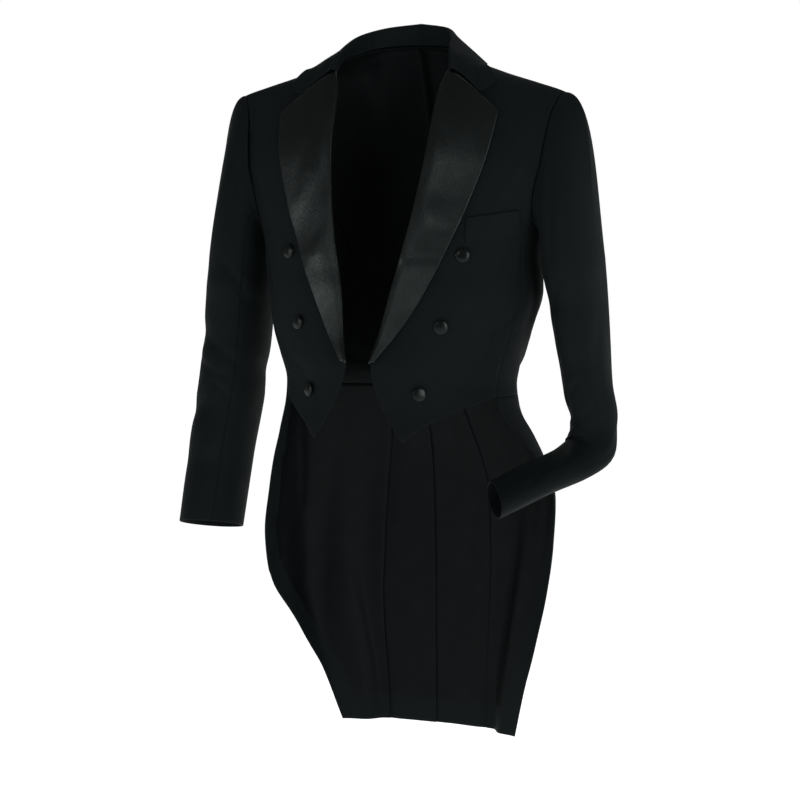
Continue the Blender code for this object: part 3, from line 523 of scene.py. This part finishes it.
# Viscose lining, satin woven: smooth, black and softly shining, with a fine rib that is drawn at 0.9 mm. Its black is
# partly the lining's own colour and partly painted shade: it is set darker than the wool so that the inside of the coat
# reads as shaded.
lining = bpy.data.materials.new("viscose_lining")
lining.use_nodes = True
tree = lining.node_tree
grain_of = add(tree, "ShaderNodeUVMap", uv_map="grain")
rib = add(tree, "ShaderNodeTexWave", {"Vector": grain_of.outputs[0], "Scale": 0.314 / 0.0009, "Distortion": 0.6},
          wave_type="BANDS", bands_direction="X")
cloud = add(tree, "ShaderNodeTexNoise", {"Vector": grain_of.outputs[0], "Scale": 1 / 0.03, "Detail": 2.0})
# painted shade: these blacks are set below the wool's so that the coat's inside looks shaded, on top of the lining's
# own black and its random cloudiness
tone = add(tree, "ShaderNodeValToRGB", {"Fac": cloud.outputs["Fac"]})
tone.color_ramp.elements[0].color = linear("#060708")
tone.color_ramp.elements[1].color = linear("#0d0e0f")
bump = add(tree, "ShaderNodeBump", {"Height": rib.outputs["Fac"], "Strength": 0.25, "Distance": 0.0002})
shader = tree.nodes["Principled BSDF"]
tree.links.new(tone.outputs["Color"], shader.inputs["Base Color"])
tree.links.new(bump.outputs[0], shader.inputs["Normal"])
shader.inputs["Roughness"].default_value = 0.52
shader.inputs["Specular IOR Level"].default_value = 0.07
shader.inputs["Specular Tint"].default_value = linear("#dce8e9")

BODY_ROWS, ARMHOLE_FRONT_ROWS, SHOULDER_COLUMNS = 12 * FINER, 10 * FINER, 8 * FINER
DART_AT = 0.885        # share of the way from the front edge to the side seam where the dart is sewn
armhole_front = by_level(ARMHOLE, float(armhole_level(SIDE_SEAM)), 0.0, ARMHOLE_FRONT_ROWS)
side_edge = straight((SIDE_SEAM, WAIST), armhole_front[0], BODY_ROWS)
shoulder_seam = straight(place(np.array(SHOULDER_NECK), np.array(0.0)), (ARMHOLE[0][1], 0.0), SHOULDER_COLUMNS)
front_edge = drawn(FRONT_EDGE[::-1], BODY_ROWS + ARMHOLE_FRONT_ROWS)
front_hem = drawn(FRONT_HEM, SHOULDER_COLUMNS)
front_edge[-1] = shoulder_seam[0]
front_hem[-1] = side_edge[0]
front_across = np.sort(np.concatenate([
    np.linspace(0.0, 1.0, SHOULDER_COLUMNS + 1),
    DART_AT + np.array([-0.014, -0.009, -0.0055, -0.0025, 0.0, 0.0025, 0.0055, 0.009, 0.014]),
]))
front_places = patch(front_edge, np.concatenate([side_edge, armhole_front[1:]]), front_hem, shoulder_seam, front_across)
dart = -0.085 * np.exp(-(((front_across - DART_AT) / 0.0042) ** 2))[:, None] * ramp(front_places[..., 1], -33.0, -37.0)
dart = dart - 0.10 * np.exp(-(((front_across - DART_AT) / 0.05) ** 2))[:, None] * ramp(front_places[..., 1], -33.0, -42.0)
for side, word in ((1, "left"), (-1, "right")):
    piece = panel("forepart_" + word, front_places, side, ("first", "bottom"), wool, lining, extra=dart)
    dress(piece, "front_" + word)


# The side bodies: a curved wool panel under each arm, sewn to the forepart in front and to the back behind,
# with the waist seam below and the armhole above.
SIDE_COLUMNS = 10 * FINER
# level and turn of the seam between the side body and the back, and on down beside the tail's middle
BACK_SEAM = [
    (-17.6, 115.0), (-20.5, 128.0), (-25.0, 142.0), (-31.0, 152.0),
    (-38.0, 160.0), (-45.9, 165.0), (-60.0, 164.0), (-95.6, 158.0),
]
under_turns = np.linspace(SIDE_SEAM, 90.0, SIDE_COLUMNS // 2 + 1)
armhole_under = np.concatenate([
    np.stack([under_turns, armhole_level(under_turns)], axis=-1),
    by_level(ARMHOLE, ARMHOLE[-1][0], BACK_POINT, SIDE_COLUMNS - SIDE_COLUMNS // 2, 2)[1:],
])
back_seam_up = by_level(BACK_SEAM, WAIST, BACK_POINT, BODY_ROWS)
side_waist = straight(side_edge[0], back_seam_up[0], SIDE_COLUMNS)
side_places = patch(side_edge, back_seam_up, side_waist, armhole_under)
for side, word in ((1, "left"), (-1, "right")):
    piece = panel("side_body_" + word, side_places, side, (), wool, lining)
    dress(piece, "side_" + word)


# The back: two wool halves joined down the spine to the waist, each cut in one with the middle of its tail.
# Below the waist the centre vent hangs open, and the edge over the skirt is pressed as a pleat under the back button.
TAIL_ROWS, ARMHOLE_BACK_ROWS, NECK_COLUMNS = 17 * FINER, 5 * FINER, 2 * FINER
VENT_LAP = 4.2         # degrees that the left tail's edge lies over the right one below the waist
VENT_TURN = 0.5
PLEAT_LAP = 2.2        # degrees that the back's pressed edge lies over the skirt
PLEAT_LIFT = 0.11      # half a cloth's thickness: what lies over is lifted by it, and what lies under is pushed in
armhole_back = by_level(ARMHOLE, BACK_POINT, 0.0, ARMHOLE_BACK_ROWS, 2)
back_edge = np.concatenate([by_level(BACK_SEAM, HEM, WAIST, TAIL_ROWS), back_seam_up[1:], armhole_back[1:]])
back_edge[:, 0] -= PLEAT_LAP * ramp(back_edge[:, 1], -46.4, -49.0)
back_shoulder = shoulder_seam[::-1] * np.array([-1.0, 1.0]) + np.array([180.0, 0.0])
neck = straight(back_shoulder[-1], (180.0, 0.0), NECK_COLUMNS)
back_top = np.concatenate([back_shoulder, neck[1:]])
for side, word in ((1, "left"), (-1, "right")):
    centre = straight((180.0, HEM), (180.0, 0.0), len(back_edge) - 1)
    below = ramp(centre[:, 1], -46.2, -49.0)
    centre[:, 0] += VENT_LAP * below if side > 0 else -VENT_TURN * below
    places = patch(back_edge, centre, straight(back_edge[0], centre[0], len(back_top) - 1), back_top)
    turn, level = places[..., 0], places[..., 1]
    from_seam = np.maximum((turn - read(BACK_SEAM, level)) * CM_PER_DEGREE, 0.0)
    lapped = PLEAT_LIFT * np.exp(-((from_seam / 0.9) ** 2)) * ramp(level, WAIST, -47.2)
    lapped = lapped + side * PLEAT_LIFT * ramp(turn, 169.0, 174.5) * ramp(level, WAIST, -47.2)
    piece = panel("back_and_tail_" + word, places, side, ("bottom",), wool, lining, extra=lapped)
    dress(piece, "back_" + word)


# The skirts: the side of each tail, a wool panel sewn on at the waist seam, swept back in front to the knee.
# It hangs in soft flutes from the hip, and its back edge lies under the pleat of the back.
# level, turn of the skirt's front edge on the wearer's left and right
SKIRT_EDGE = [
    (-45.9, 72.0, 72.0), (-49.0, 76.0, 75.0), (-52.0, 82.0, 78.0), (-55.0, 91.0, 80.5),
    (-60.0, 101.0, 83.0), (-67.5, 109.0, 85.5), (-74.0, 113.0, 91.0), (-79.0, 115.5, 101.0),
    (-84.0, 118.5, 111.0), (-88.0, 122.0, 119.0), (-95.6, 127.0, 127.0),
]
for side, word, area in ((1, "left", 0.071), (-1, "right", 0.085)):
    first = by_level(SKIRT_EDGE, HEM, WAIST, TAIL_ROWS, 1 if side > 0 else 2)
    last = by_level(BACK_SEAM, HEM, WAIST, TAIL_ROWS)
    hem = straight(first[0], last[0], SIDE_COLUMNS)
    places = patch(first, last, hem, straight(first[-1], last[-1], SIDE_COLUMNS))
    from_seam = np.maximum((read(BACK_SEAM, places[..., 1]) - places[..., 0]) * CM_PER_DEGREE - 0.9, 0.0)
    tuck = -PLEAT_LIFT * np.exp(-((from_seam / 0.8) ** 2)) * ramp(places[..., 1], WAIST, -47.2)
    piece = panel("skirt_cloth_" + word, places, side, ("first", "bottom"), wool, lining, extra=tuck)
    dress(piece, "skirt_" + word)


# The sleeves: a top and an under sleeve of wool, seamed in front and behind and set into the armhole. One hangs
# nearly straight, and the other is bent, so its cloth bunches inside the elbow. The cuffs are turned in.
SLEEVE_GAP = 0.08
ARMHOLE_DEPTH, ARMHOLE_HEIGHT = 1.2, -14.7             # the armhole's middle
ARMHOLE_HALF_DEEP, ARMHOLE_HALF_HIGH = 5.0, 9.9
ELBOW_TURN = 0.75      # how far the bent forearm is turned inwards
HEAD_LEAN = 0.13       # how far the sleeve leans in towards its head
HEAD_ROWS, SLEEVE_ROWS = 24, 91
# across, depth and height of the sleeve's middle line, half width sideways and fore and aft
SLEEVE_RIGHT = [
    (-25.0, 1.0, -27.6, 4.1, 6.6), (-25.9, 1.1, -37.0, 4.3, 6.7), (-26.7, 0.8, -45.0, 4.3, 6.5),
    (-27.7, -1.0, -55.5, 4.1, 6.3), (-28.2, -3.3, -65.9, 4.0, 6.1),
]
SLEEVE_LEFT = [
    (25.2, 1.3, -27.6, 3.9, 6.4), (26.1, 1.9, -36.0, 3.4, 5.8), (27.2, 2.0, -44.5, 3.1, 4.8),
    (28.0, 1.9, -49.0, 3.2, 3.9), (28.0, 1.0, -52.3, 3.7, 2.9), (26.4, -1.0, -54.3, 4.3, 2.4),
    (22.8, -4.3, -56.2, 4.5, 2.25),
    (17.5, -7.6, -59.2, 4.6, 2.1),
]
# share of the sleeve's length below the biceps, turn round it and depth of each broad dent
CREASES_RIGHT = [(0.10, 110.0, 0.35), (0.30, 70.0, -0.3), (0.42, 200.0, -0.35), (0.58, 60.0, -0.3), (0.78, 100.0, -0.25)]
CREASES_LEFT = [(0.12, 110.0, -0.35), (0.34, 80.0, -0.35), (0.52, 150.0, -0.45), (0.62, 40.0, 0.30), (0.84, 60.0, -0.25)]
# turn round the sleeve (0 outside, 90 in front), centimetres below the biceps, slant, half length, half width,
# bow and depth of each soft fold
FOLDS_RIGHT = [
    (95.0, -7.0, 14.0, 6.0, 1.1, 0.6, -0.22), (58.0, -3.0, -18.0, 5.0, 1.3, -0.5, 0.16),
    (120.0, 3.0, 40.0, 4.2, 0.8, 0.5, -0.20), (78.0, 7.5, -34.0, 4.6, 0.9, 0.5, -0.17),
    (105.0, 13.5, 62.0, 3.6, 0.7, 0.4, -0.22), (84.0, 16.5, 74.0, 3.8, 0.6, -0.4, -0.19),
    (112.0, 19.5, 52.0, 3.4, 0.7, 0.4, -0.17), (48.0, 21.0, -50.0, 4.4, 1.0, 0.5, 0.14),
    (90.0, 27.0, -40.0, 4.0, 0.9, 0.4, -0.12), (30.0, 11.0, 8.0, 7.0, 1.5, 0.6, -0.13),
    (330.0, 6.0, -6.0, 8.0, 1.6, 0.6, 0.14), (270.0, 15.0, 66.0, 3.8, 0.8, 0.4, -0.17),
    (255.0, 19.0, 78.0, 3.4, 0.7, 0.3, -0.14), (240.0, -2.0, 22.0, 5.0, 1.1, 0.5, -0.18),
    (300.0, 28.0, 30.0, 5.0, 1.1, 0.4, 0.11),
]
FOLDS_LEFT = [
    (92.0, -6.0, 12.0, 6.5, 1.1, 0.6, -0.24), (55.0, -1.0, -16.0, 5.4, 1.3, -0.5, 0.15),
    (118.0, 5.0, 34.0, 4.6, 0.9, 0.5, -0.21), (80.0, 11.0, -28.0, 4.8, 0.9, 0.5, -0.16),
    (112.0, 17.5, 58.0, 3.8, 0.7, 0.4, -0.26), (86.0, 21.0, 70.0, 3.6, 0.6, -0.4, -0.24),
    (128.0, 22.5, 82.0, 3.4, 0.6, 0.3, -0.26), (104.0, 25.5, -72.0, 3.8, 0.7, 0.4, -0.24),
    (70.0, 28.5, -56.0, 4.2, 0.8, 0.4, 0.18), (60.0, 33.0, -40.0, 4.0, 0.8, 0.4, -0.13),
    (28.0, 14.0, 6.0, 7.5, 1.5, 0.6, -0.14), (325.0, 9.0, -8.0, 8.0, 1.6, 0.6, 0.13),
    (350.0, 24.0, 40.0, 4.2, 1.0, 0.5, -0.13), (280.0, 20.0, 20.0, 5.0, 1.2, 0.5, 0.16),
    (245.0, -1.0, 20.0, 5.0, 1.1, 0.5, -0.18), (300.0, 30.0, -30.0, 4.4, 0.9, 0.4, -0.12),
]
sleeve_loop = np.concatenate([armhole_back, armhole_front[-2::-1], armhole_under[1:-1]])
top_count = len(armhole_back) + len(armhole_front) - 1
# the last two values are how far the cuff runs on, in centimetres, on the outside and in front
for side, word, rows, creases, folds, outside_on, front_on in (
    (1, "left", SLEEVE_LEFT, CREASES_LEFT, FOLDS_LEFT, 0.0, -0.85),
    (-1, "right", SLEEVE_RIGHT, CREASES_RIGHT, FOLDS_RIGHT, 0.4, 0.0),
):
    middle = [row[:3] for row in rows]
    steps = np.linalg.norm(np.diff(np.array(middle), axis=0), axis=1)
    at = np.concatenate([[0.0], np.cumsum(steps)]) / steps.sum()
    share = np.linspace(0.0, 1.0, SLEEVE_ROWS + 1)
    centres = along(middle, share)
    ahead = unit(along(middle, np.minimum(share + 0.02, 1.0)) - along(middle, np.maximum(share - 0.02, 0.0)))
    turned = ELBOW_TURN * ramp(share, 0.45, 0.85) if side > 0 else np.zeros_like(share)
    sideways = np.stack([np.full_like(share, side), -turned, np.zeros_like(share)], axis=-1)
    forward = unit(np.cross(ahead, sideways) * side)
    outward = np.cross(forward, ahead) * side
    outward = outward * read(np.column_stack([at, [row[3] for row in rows]]), share)[:, None]
    forward = forward * read(np.column_stack([at, [row[4] for row in rows]]), share)[:, None]

    seam = skin(sleeve_loop[:, 0], sleeve_loop[:, 1], side)
    ahead_of = (ARMHOLE_DEPTH - seam[:, 1]) / ARMHOLE_HALF_DEEP
    above = (seam[:, 2] - ARMHOLE_HEIGHT) / ARMHOLE_HALF_HIGH
    around = np.degrees(np.arctan2(ahead_of, above)) % 360.0
    c, s = np.cos(np.radians(around)), np.sin(np.radians(around))
    dent = np.zeros((len(around), len(share)))
    for at_share, at_turn, depth in creases:
        faces_it = np.maximum(np.cos(np.radians(around - at_turn)), 0.0) ** 1.5
        dent += depth / 5.0 * faces_it[:, None] * np.exp(-(((share - at_share) / 0.05) ** 2))[None, :]
    ring = outward[None] * c[:, None, None] + forward[None] * s[:, None, None]
    rings = centres[None] + (1 + dent)[..., None] * ring
    on = (outside_on * c + front_on * s)[:, None] * ramp(share, 0.8, 1.0)[None, :]
    rings = rings + ahead[None] * on[..., None]
    first = rings[:, 0]
    leave = np.stack([side * (1.0 + 0.25 * c), -0.45 * s, np.full_like(c, -0.12)], axis=-1)
    handle = seam + leave * (2.4 + 1.0 * c if side > 0 else 1.9 + 0.7 * c)[:, None]
    rise = (seam[:, 2] - first[:, 2]) * 0.5 + 0.3
    into = first + np.stack([-side * HEAD_LEAN * rise, np.zeros_like(c), rise], axis=-1)
    f = np.linspace(0.0, 1.0, HEAD_ROWS + 1)[None, :-1, None]
    head = (1 - f) ** 3 * (seam + leave * SLEEVE_GAP)[:, None] + 3 * f * (1 - f) ** 2 * handle[:, None]
    head = head + 3 * f * f * (1 - f) * into[:, None] + f ** 3 * first[:, None]
    grid = np.concatenate([head, rings], axis=1)

    def outwards(grid):
        around_it = (np.roll(grid, -1, axis=0) - np.roll(grid, 1, axis=0)) / 2
        return unit(side * np.cross(around_it, np.gradient(grid, axis=1)))

    down = np.concatenate([(np.linspace(0.0, 1.0, HEAD_ROWS + 1)[:-1] - 1) * 13.0, share * steps.sum()])
    high = np.zeros(grid.shape[:2])
    for at_turn, at_down, slant, half_long, half_wide, bow, depth in folds:
        gap = (around - at_turn + 180.0) % 360.0 - 180.0
        high += soft_fold(gap[:, None] * 0.096, (down - at_down)[None, :], slant, half_long, half_wide, bow, depth)
    high *= ramp(down, -12.5, -9.0)[None, :] * (1 - 0.7 * ramp(down, down[-1] - 3.0, down[-1]))[None, :]
    grid = grid + outwards(grid) * high[..., None]
    out = outwards(grid)
    under = list(range(top_count - 1, len(sleeve_loop))) + [0]
    for kind, picked, flat, area in (
        ("topsleeve", list(range(top_count)), (0.24, 0.62), 0.117),
        ("undersleeve", under, (0.18, 0.48), 0.060),
    ):
        piece = sheet(kind + "_cloth_" + word, grid[picked], out[picked], ("top",), wool, lining)
        dress(piece, kind + "_" + word)


# The collar: one piece of wool on a pad-stitched undercollar, standing up from the neck seam and folded over,
# so that its fall lies on the shoulders and ends at the notch above each lapel.
# across, depth and height of the collar's fold and its neck seam, from the front to the centre back
COLLAR_FOLD = [(8.75, -3.2, -1.6), (7.9, -1.5, 1.0), (6.9, 1.6, 2.9), (4.4, 5.1, 4.1), (0.0, 6.9, 4.7)]
COLLAR_SEAM = [
    (8.25, -2.4, -1.7), (8.2, -0.1, 0.0), (7.3, 1.7, 0.45),
    (5.7, 4.7, 1.35), (2.9, 6.05, 1.75), (0.0, 6.35, 1.85),
]
# distance from the centre and height of the fall's outer edge, and whether it is behind the shoulder seam
COLLAR_EDGE = [(15.3, -3.3, False), (13.4, -1.6, False), (11.0, -1.4, True), (6.5, -0.7, True), (0.0, 0.2, True)]
# distance from the centre and height of the fall's front end: along the gorge seam to the notch, then its corner
COLLAR_END = [(8.8, -1.65), (11.0, -2.9), (13.4, -4.75), (15.4, -3.3)]
COLLAR_LIFT = 0.68
COLLAR_COLUMNS, COLLAR_ROWS = 120, 46


def off_skin(x, z, behind, side):
    """A point a little off one side of the coat, at a distance from the centre and a height, with x counted outwards."""
    turn, level = place(np.array(x), np.array(z), behind)
    return (skin(turn, level, side) + COLLAR_LIFT * facing(turn, level, side)) * np.array([side, 1, 1])


# share of the way up the stand or down the fall, how far out from the stand, how far up
stand = [(0.0, 0.0, 0.0), (0.45, 0.0, 0.0), (0.85, 0.0, 0.0)]
fall = [(0.0, 0.12, 0.14), (0.0, 0.42, 0.14), (0.13, 0.50, 0.08), (0.4, 0.42, 0.16), (0.68, 0.26, 0.14), (1.0, 0.0, 0.0)]
fall_edges = {side: [off_skin(x, z, behind, side) for x, z, behind in COLLAR_EDGE] for side in (1, -1)}
end_lines = {side: [off_skin(x, z, False, side) for x, z in COLLAR_END] for side in (1, -1)}
collar_grid = np.zeros((COLLAR_COLUMNS + 1, COLLAR_ROWS + 1, 3))
for i in range(COLLAR_COLUMNS + 1):
    place_on = 1 - 2 * i / COLLAR_COLUMNS
    side = 1 if place_on >= 0 else -1
    share = 1 - abs(place_on)
    fall_edge = fall_edges[side]
    seam, fold, edge = (along(line, share) for line in (COLLAR_SEAM, COLLAR_FOLD, fall_edge))
    away = unit(np.array([edge[0] - fold[0], edge[1] - fold[1], 0.0]))
    up = np.array([0.0, 0.0, 1.0])
    points = [seam + (fold - seam) * f + away * out + up * high for f, out, high in stand]
    near_end = 1 - ramp(share, 0.0, 0.2)
    for f, out, high in fall:
        points.append(fold + (edge - fold) * f + (away * out + up * high) * (1 - near_end * ramp(f, 0.0, 0.13)))
    for j, (f, out, high) in enumerate(fall[2:], start=len(stand) + 2):
        shift = along(end_lines[side], f) - (along(COLLAR_FOLD, 0.0) * (1 - f) + fall_edge[0] * f)
        points[j] = points[j] + near_end * shift
    collar_grid[i] = along(points, np.linspace(0.0, 1.0, COLLAR_ROWS + 1)) * np.array([side, 1, 1])
collar_out = unit(np.cross(np.gradient(collar_grid, axis=0), np.gradient(collar_grid, axis=1)))
if collar_out[COLLAR_COLUMNS // 2, COLLAR_ROWS - 4][1] < 0:
    collar_out = -collar_out
piece = sheet("collar_cloth", collar_grid, collar_out, ("first", "last", "top"), wool, wool)
dress(piece, "collar")


# The lapels: the facing of each forepart turned back on the roll line and covered in silk satin.
# Each rolls softly out over the front edge and lies flat on the chest, with a turned edge and a notch at the gorge.
# distance from the centre and height of the lapel's outer edge below its tip
LAPEL_EDGE = [
    (16.3, -7.5), (15.7, -12.0), (13.3, -20.0), (10.4, -27.0),
    (7.6, -33.0), (5.0, -37.2), (3.0, -40.0), (2.4, -40.8),
]
# share of the way from the roll line to the edge, how far the outer face lies past the roll line and off the forepart
LAPEL_PROFILE = [(0.0, 0.22, 0.04), (0.0, 0.24, 0.40), (0.18, 0.0, 0.64), (0.45, 0.0, 0.60), (0.7, 0.0, 0.55), (1.0, 0.0, 0.52)]
LAPEL_ROWS, LAPEL_COLUMNS = 96, 34
DEEPEST_BEND = 0.14    # what a trough in the lapel comes near but never passes
# side, centimetres out from the roll line and above the break, slant, half length, half width, bow and depth of
# each soft bend
LAPEL_FOLDS = [
    (1, 4.2, 26.5, 52.0, 6.5, 2.0, 0.5, -0.17), (1, 3.6, 20.5, 58.0, 6.0, 1.7, -0.4, 0.13),
    (1, 2.2, 11.0, 66.0, 4.5, 1.4, 0.3, -0.08), (1, 5.6, 31.5, 20.0, 3.5, 1.2, 0.3, -0.08),
    (-1, 4.0, 23.5, -56.0, 6.0, 2.0, 0.5, -0.15), (-1, 3.4, 17.0, -62.0, 6.0, 1.6, -0.4, 0.12),
    (-1, 1.8, 9.0, -70.0, 4.0, 1.3, 0.3, -0.05), (-1, 5.4, 30.0, -16.0, 3.5, 1.2, 0.3, -0.07),
    (-1, 3.0, 14.0, 90.0, 9.0, 4.4, 0.3, 0.26), (1, 3.5, 22.5, 100.0, 9.0, 3.6, 0.3, 0.15),
]
# Silk satin, woven with long floats and pressed: black and smooth, with broad soft lights that stretch across the
# floats and a faint grain along them. The floats are 0.1 mm wide, and their grain is drawn at 1.4 mm, because a
# finer one would not show.
satin = bpy.data.materials.new("silk_satin")
satin.use_nodes = True
tree = satin.node_tree
grain_of = add(tree, "ShaderNodeUVMap", uv_map="grain")
float_way = add(tree, "ShaderNodeMapping", {"Vector": grain_of.outputs[0], "Rotation": (0.0, 0.0, math.radians(-12.0)),
                                            "Scale": (1 / 0.0014, 1 / 0.007, 1.0)})
floats = add(tree, "ShaderNodeTexNoise", {"Vector": float_way.outputs[0], "Scale": 1.0, "Detail": 2.0, "Roughness": 0.6})
puckers = add(tree, "ShaderNodeTexNoise", {"Vector": grain_of.outputs[0], "Scale": 1 / 0.05, "Detail": 2.0})
tone = add(tree, "ShaderNodeValToRGB", {"Fac": floats.outputs["Fac"]})
tone.color_ramp.elements[0].position = 0.3
tone.color_ramp.elements[0].color = linear("#060707")
tone.color_ramp.elements[1].position = 0.7
tone.color_ramp.elements[1].color = linear("#0e1010")
gloss = add(tree, "ShaderNodeMapRange", {"Value": puckers.outputs["Fac"], "From Min": 0.3, "From Max": 0.7,
                                         "To Min": 0.28, "To Max": 0.36})
bump = add(tree, "ShaderNodeBump", {"Height": floats.outputs["Fac"], "Strength": 0.55, "Distance": 0.0006})
shader = tree.nodes["Principled BSDF"]
tree.links.new(tone.outputs["Color"], shader.inputs["Base Color"])
tree.links.new(gloss.outputs[0], shader.inputs["Roughness"])
tree.links.new(bump.outputs[0], shader.inputs["Normal"])
shader.inputs["Specular IOR Level"].default_value = 0.29
shader.inputs["Specular Tint"].default_value = linear("#dcebe7")
shader.inputs["Anisotropic"].default_value = 0.35

roll = drawn(FRONT_EDGE[7:0:-1], LAPEL_ROWS)
edge = drawn(LAPEL_EDGE[::-1], LAPEL_ROWS)
profile = along([(share * 4.0, past, lift) for share, past, lift in LAPEL_PROFILE], np.linspace(0.0, 1.0, LAPEL_COLUMNS + 1))
across, past, lift = profile[:, 0] / 4.0, profile[:, 1], profile[:, 2]
for side, word in ((1, "left"), (-1, "right")):
    places = roll[None] + (edge - roll)[None] * across[:, None, None]
    out = facing(places[..., 0], places[..., 1], side)
    face = skin(places[..., 0], places[..., 1], side) + out * lift[:, None, None]
    face[..., 0] -= side * past[:, None]
    out_from_roll = np.linalg.norm(face - face[:1], axis=2)
    up_from_break = np.linspace(0.0, 41.0, LAPEL_ROWS + 1)[None, :] + 0.0 * out_from_roll
    bent = np.zeros_like(out_from_roll)
    for fold_side, at_out, at_up, slant, half_long, half_wide, bow, depth in LAPEL_FOLDS:
        if fold_side == side:
            bent += soft_fold(out_from_roll - at_out, up_from_break - at_up, slant, half_long, half_wide, bow, depth)
    bent = np.where(bent < 0.0, DEEPEST_BEND * np.tanh(bent / DEEPEST_BEND), bent)
    bent = bent * ramp(out_from_roll, 0.2, 2.8)
    face = face + out * bent[..., None]
    normal = unit(side * np.cross(np.gradient(face, axis=0), np.gradient(face, axis=1)))
    if np.sum(normal[-1] * out[-1]) < 0:
        normal = -normal
    piece = sheet("lapel_facing_" + word, face, normal, ("last", "top"), satin, wool)
    dress(piece, "lapel_" + word)


# The breast welt: a stiffened strip of wool on the wearer's left chest, sewn down at its ends and along its foot,
# with the pocket mouth behind its upper edge. Its inner end runs in under the lapel.
# distance from the centre, upper and lower height of the welt's inner and outer end
WELT = [(13.2, -21.4, -24.7), (19.5, -20.4, -23.9)]
WELT_COLUMNS, WELT_ROWS = 36, 16
welt_share = np.linspace(0.0, 1.0, WELT_COLUMNS + 1)[:, None]
welt_up = np.linspace(0.0, 1.0, WELT_ROWS + 1)[None, :]
(x0, high0, low0), (x1, high1, low1) = WELT
welt_x = x0 + (x1 - x0) * welt_share + 0.0 * welt_up
welt_low = low0 + (low1 - low0) * welt_share
welt_high = high0 + (high1 - high0) * welt_share
welt_places = place(welt_x, welt_low + (welt_high - welt_low) * welt_up)
welt_lift = 0.21 + 0.06 * ramp(welt_up, 0.0, 0.35) + 0.0 * welt_share
piece = panel("welt_cloth", welt_places, 1, ("first", "last", "bottom", "top"), wool, wool, lift=welt_lift)
dress(piece, "breast_welt")


# The buttons: domed metal moulds covered in the lapels' satin, 20 mm across, three down each forepart and one over
# each pleat at the back waist. The satin is drawn tight over the dome and gathered in under the rim.
BUTTON_ROWS = [(13.0, -26.4), (10.6, -36.0), (8.1, -45.0)]
BUTTON_GAP, BACK_BUTTON_GAP = 0.05, 0.14
covering = bpy.data.materials.new("satin_button_covering")
covering.use_nodes = True
tree = covering.node_tree
here = add(tree, "ShaderNodeTexCoord")
float_way = add(tree, "ShaderNodeMapping", {"Vector": here.outputs["Object"], "Scale": (1 / 0.0006, 1 / 0.0006, 1 / 0.004)})
floats = add(tree, "ShaderNodeTexNoise", {"Vector": float_way.outputs[0], "Scale": 1.0, "Detail": 2.0, "Roughness": 0.6})
tone = add(tree, "ShaderNodeValToRGB", {"Fac": floats.outputs["Fac"]})
tone.color_ramp.elements[0].position = 0.3
tone.color_ramp.elements[0].color = linear("#050606")
tone.color_ramp.elements[1].position = 0.7
tone.color_ramp.elements[1].color = linear("#0b0d0d")
bump = add(tree, "ShaderNodeBump", {"Height": floats.outputs["Fac"], "Strength": 0.25, "Distance": 0.0002})
shader = tree.nodes["Principled BSDF"]
tree.links.new(tone.outputs["Color"], shader.inputs["Base Color"])
tree.links.new(bump.outputs[0], shader.inputs["Normal"])
shader.inputs["Roughness"].default_value = 0.24
shader.inputs["Specular IOR Level"].default_value = 0.20
shader.inputs["Specular Tint"].default_value = linear("#dcebe7")

bpy.ops.mesh.primitive_cylinder_add(vertices=40, radius=0.0070, depth=0.0006, location=(0.0, 0.0, 0.0003))
mould = bpy.context.object
bpy.ops.object.mode_set(mode="EDIT")
bpy.ops.mesh.select_mode(type="FACE")
bpy.ops.mesh.select_all(action="DESELECT")
bpy.ops.object.mode_set(mode="OBJECT")
for polygon in mould.data.polygons:
    polygon.select = polygon.normal.z > 0.9
bpy.ops.object.mode_set(mode="EDIT")
# rise and widening of each step from the back plate to the crown
for rise, widen in ((0.0006, 1.32), (0.0006, 1.07), (0.0007, 1.005), (0.0006, 0.955), (0.0006, 0.87), (0.0005, 0.76),
                    (0.0003, 0.62), (0.00012, 0.40)):
    bpy.ops.mesh.extrude_region_move(TRANSFORM_OT_translate={"value": (0.0, 0.0, rise)})
    bpy.ops.transform.resize(value=(widen, widen, 1.0))
bpy.ops.mesh.inset(thickness=0.0004)
bpy.ops.mesh.merge(type="CENTER")
bpy.ops.mesh.select_all(action="DESELECT")
bpy.ops.object.mode_set(mode="OBJECT")
rounding = mould.modifiers.new("rounding", "SUBSURF")
rounding.levels = rounding.render_levels = 1
bpy.ops.object.modifier_apply(modifier=rounding.name)
bpy.ops.object.select_all(action="DESELECT")
mould_mesh = mould.data
mould_mesh.transform(mould.matrix_world)
mould_mesh.shade_smooth()
mould_mesh.materials.append(covering)
bpy.data.objects.remove(mould)


def sew_button(name, node, turn, level, side, gap):
    """A copy of the button, seated just clear of the highest cloth under it."""
    turn, level = np.array(turn, dtype=float), np.array(level, dtype=float)
    middle, out = skin(turn, level, side), facing(turn, level, side)
    degree = math.radians(1) * math.hypot(middle[0], middle[1] - SIDE_Y)
    around = np.radians(45.0 * np.arange(8))
    near = skin(turn + 0.85 * np.cos(around) / degree, level + 0.85 * np.sin(around), side)
    highest = max(0.0, float(np.max((near - middle) @ out)))
    mesh = mould_mesh.copy()
    mesh.name = name
    seat = Vector(middle + (highest + gap) * out) * CM
    mesh.transform(Matrix.Translation(seat) @ Vector((0, 0, 1)).rotation_difference(Vector(out)).to_matrix().to_4x4())
    button = bpy.data.objects.new(name, mesh)
    bpy.context.scene.collection.objects.link(button)
    dress(button, node)


for side, word in ((1, "left"), (-1, "right")):
    for number, (x, z) in enumerate(BUTTON_ROWS, start=1):
        turn, level = place(np.array(x), np.array(z))
        sew_button("covered_button_%s_%d" % (word, number), "button_%s_%d" % (word, number), turn, level, side, BUTTON_GAP)
    at_turn = float(read(BACK_SEAM, WAIST)) - 1.0
    sew_button("covered_back_button_" + word, "back_button_" + word, at_turn, WAIST + 0.4, side, BACK_BUTTON_GAP)
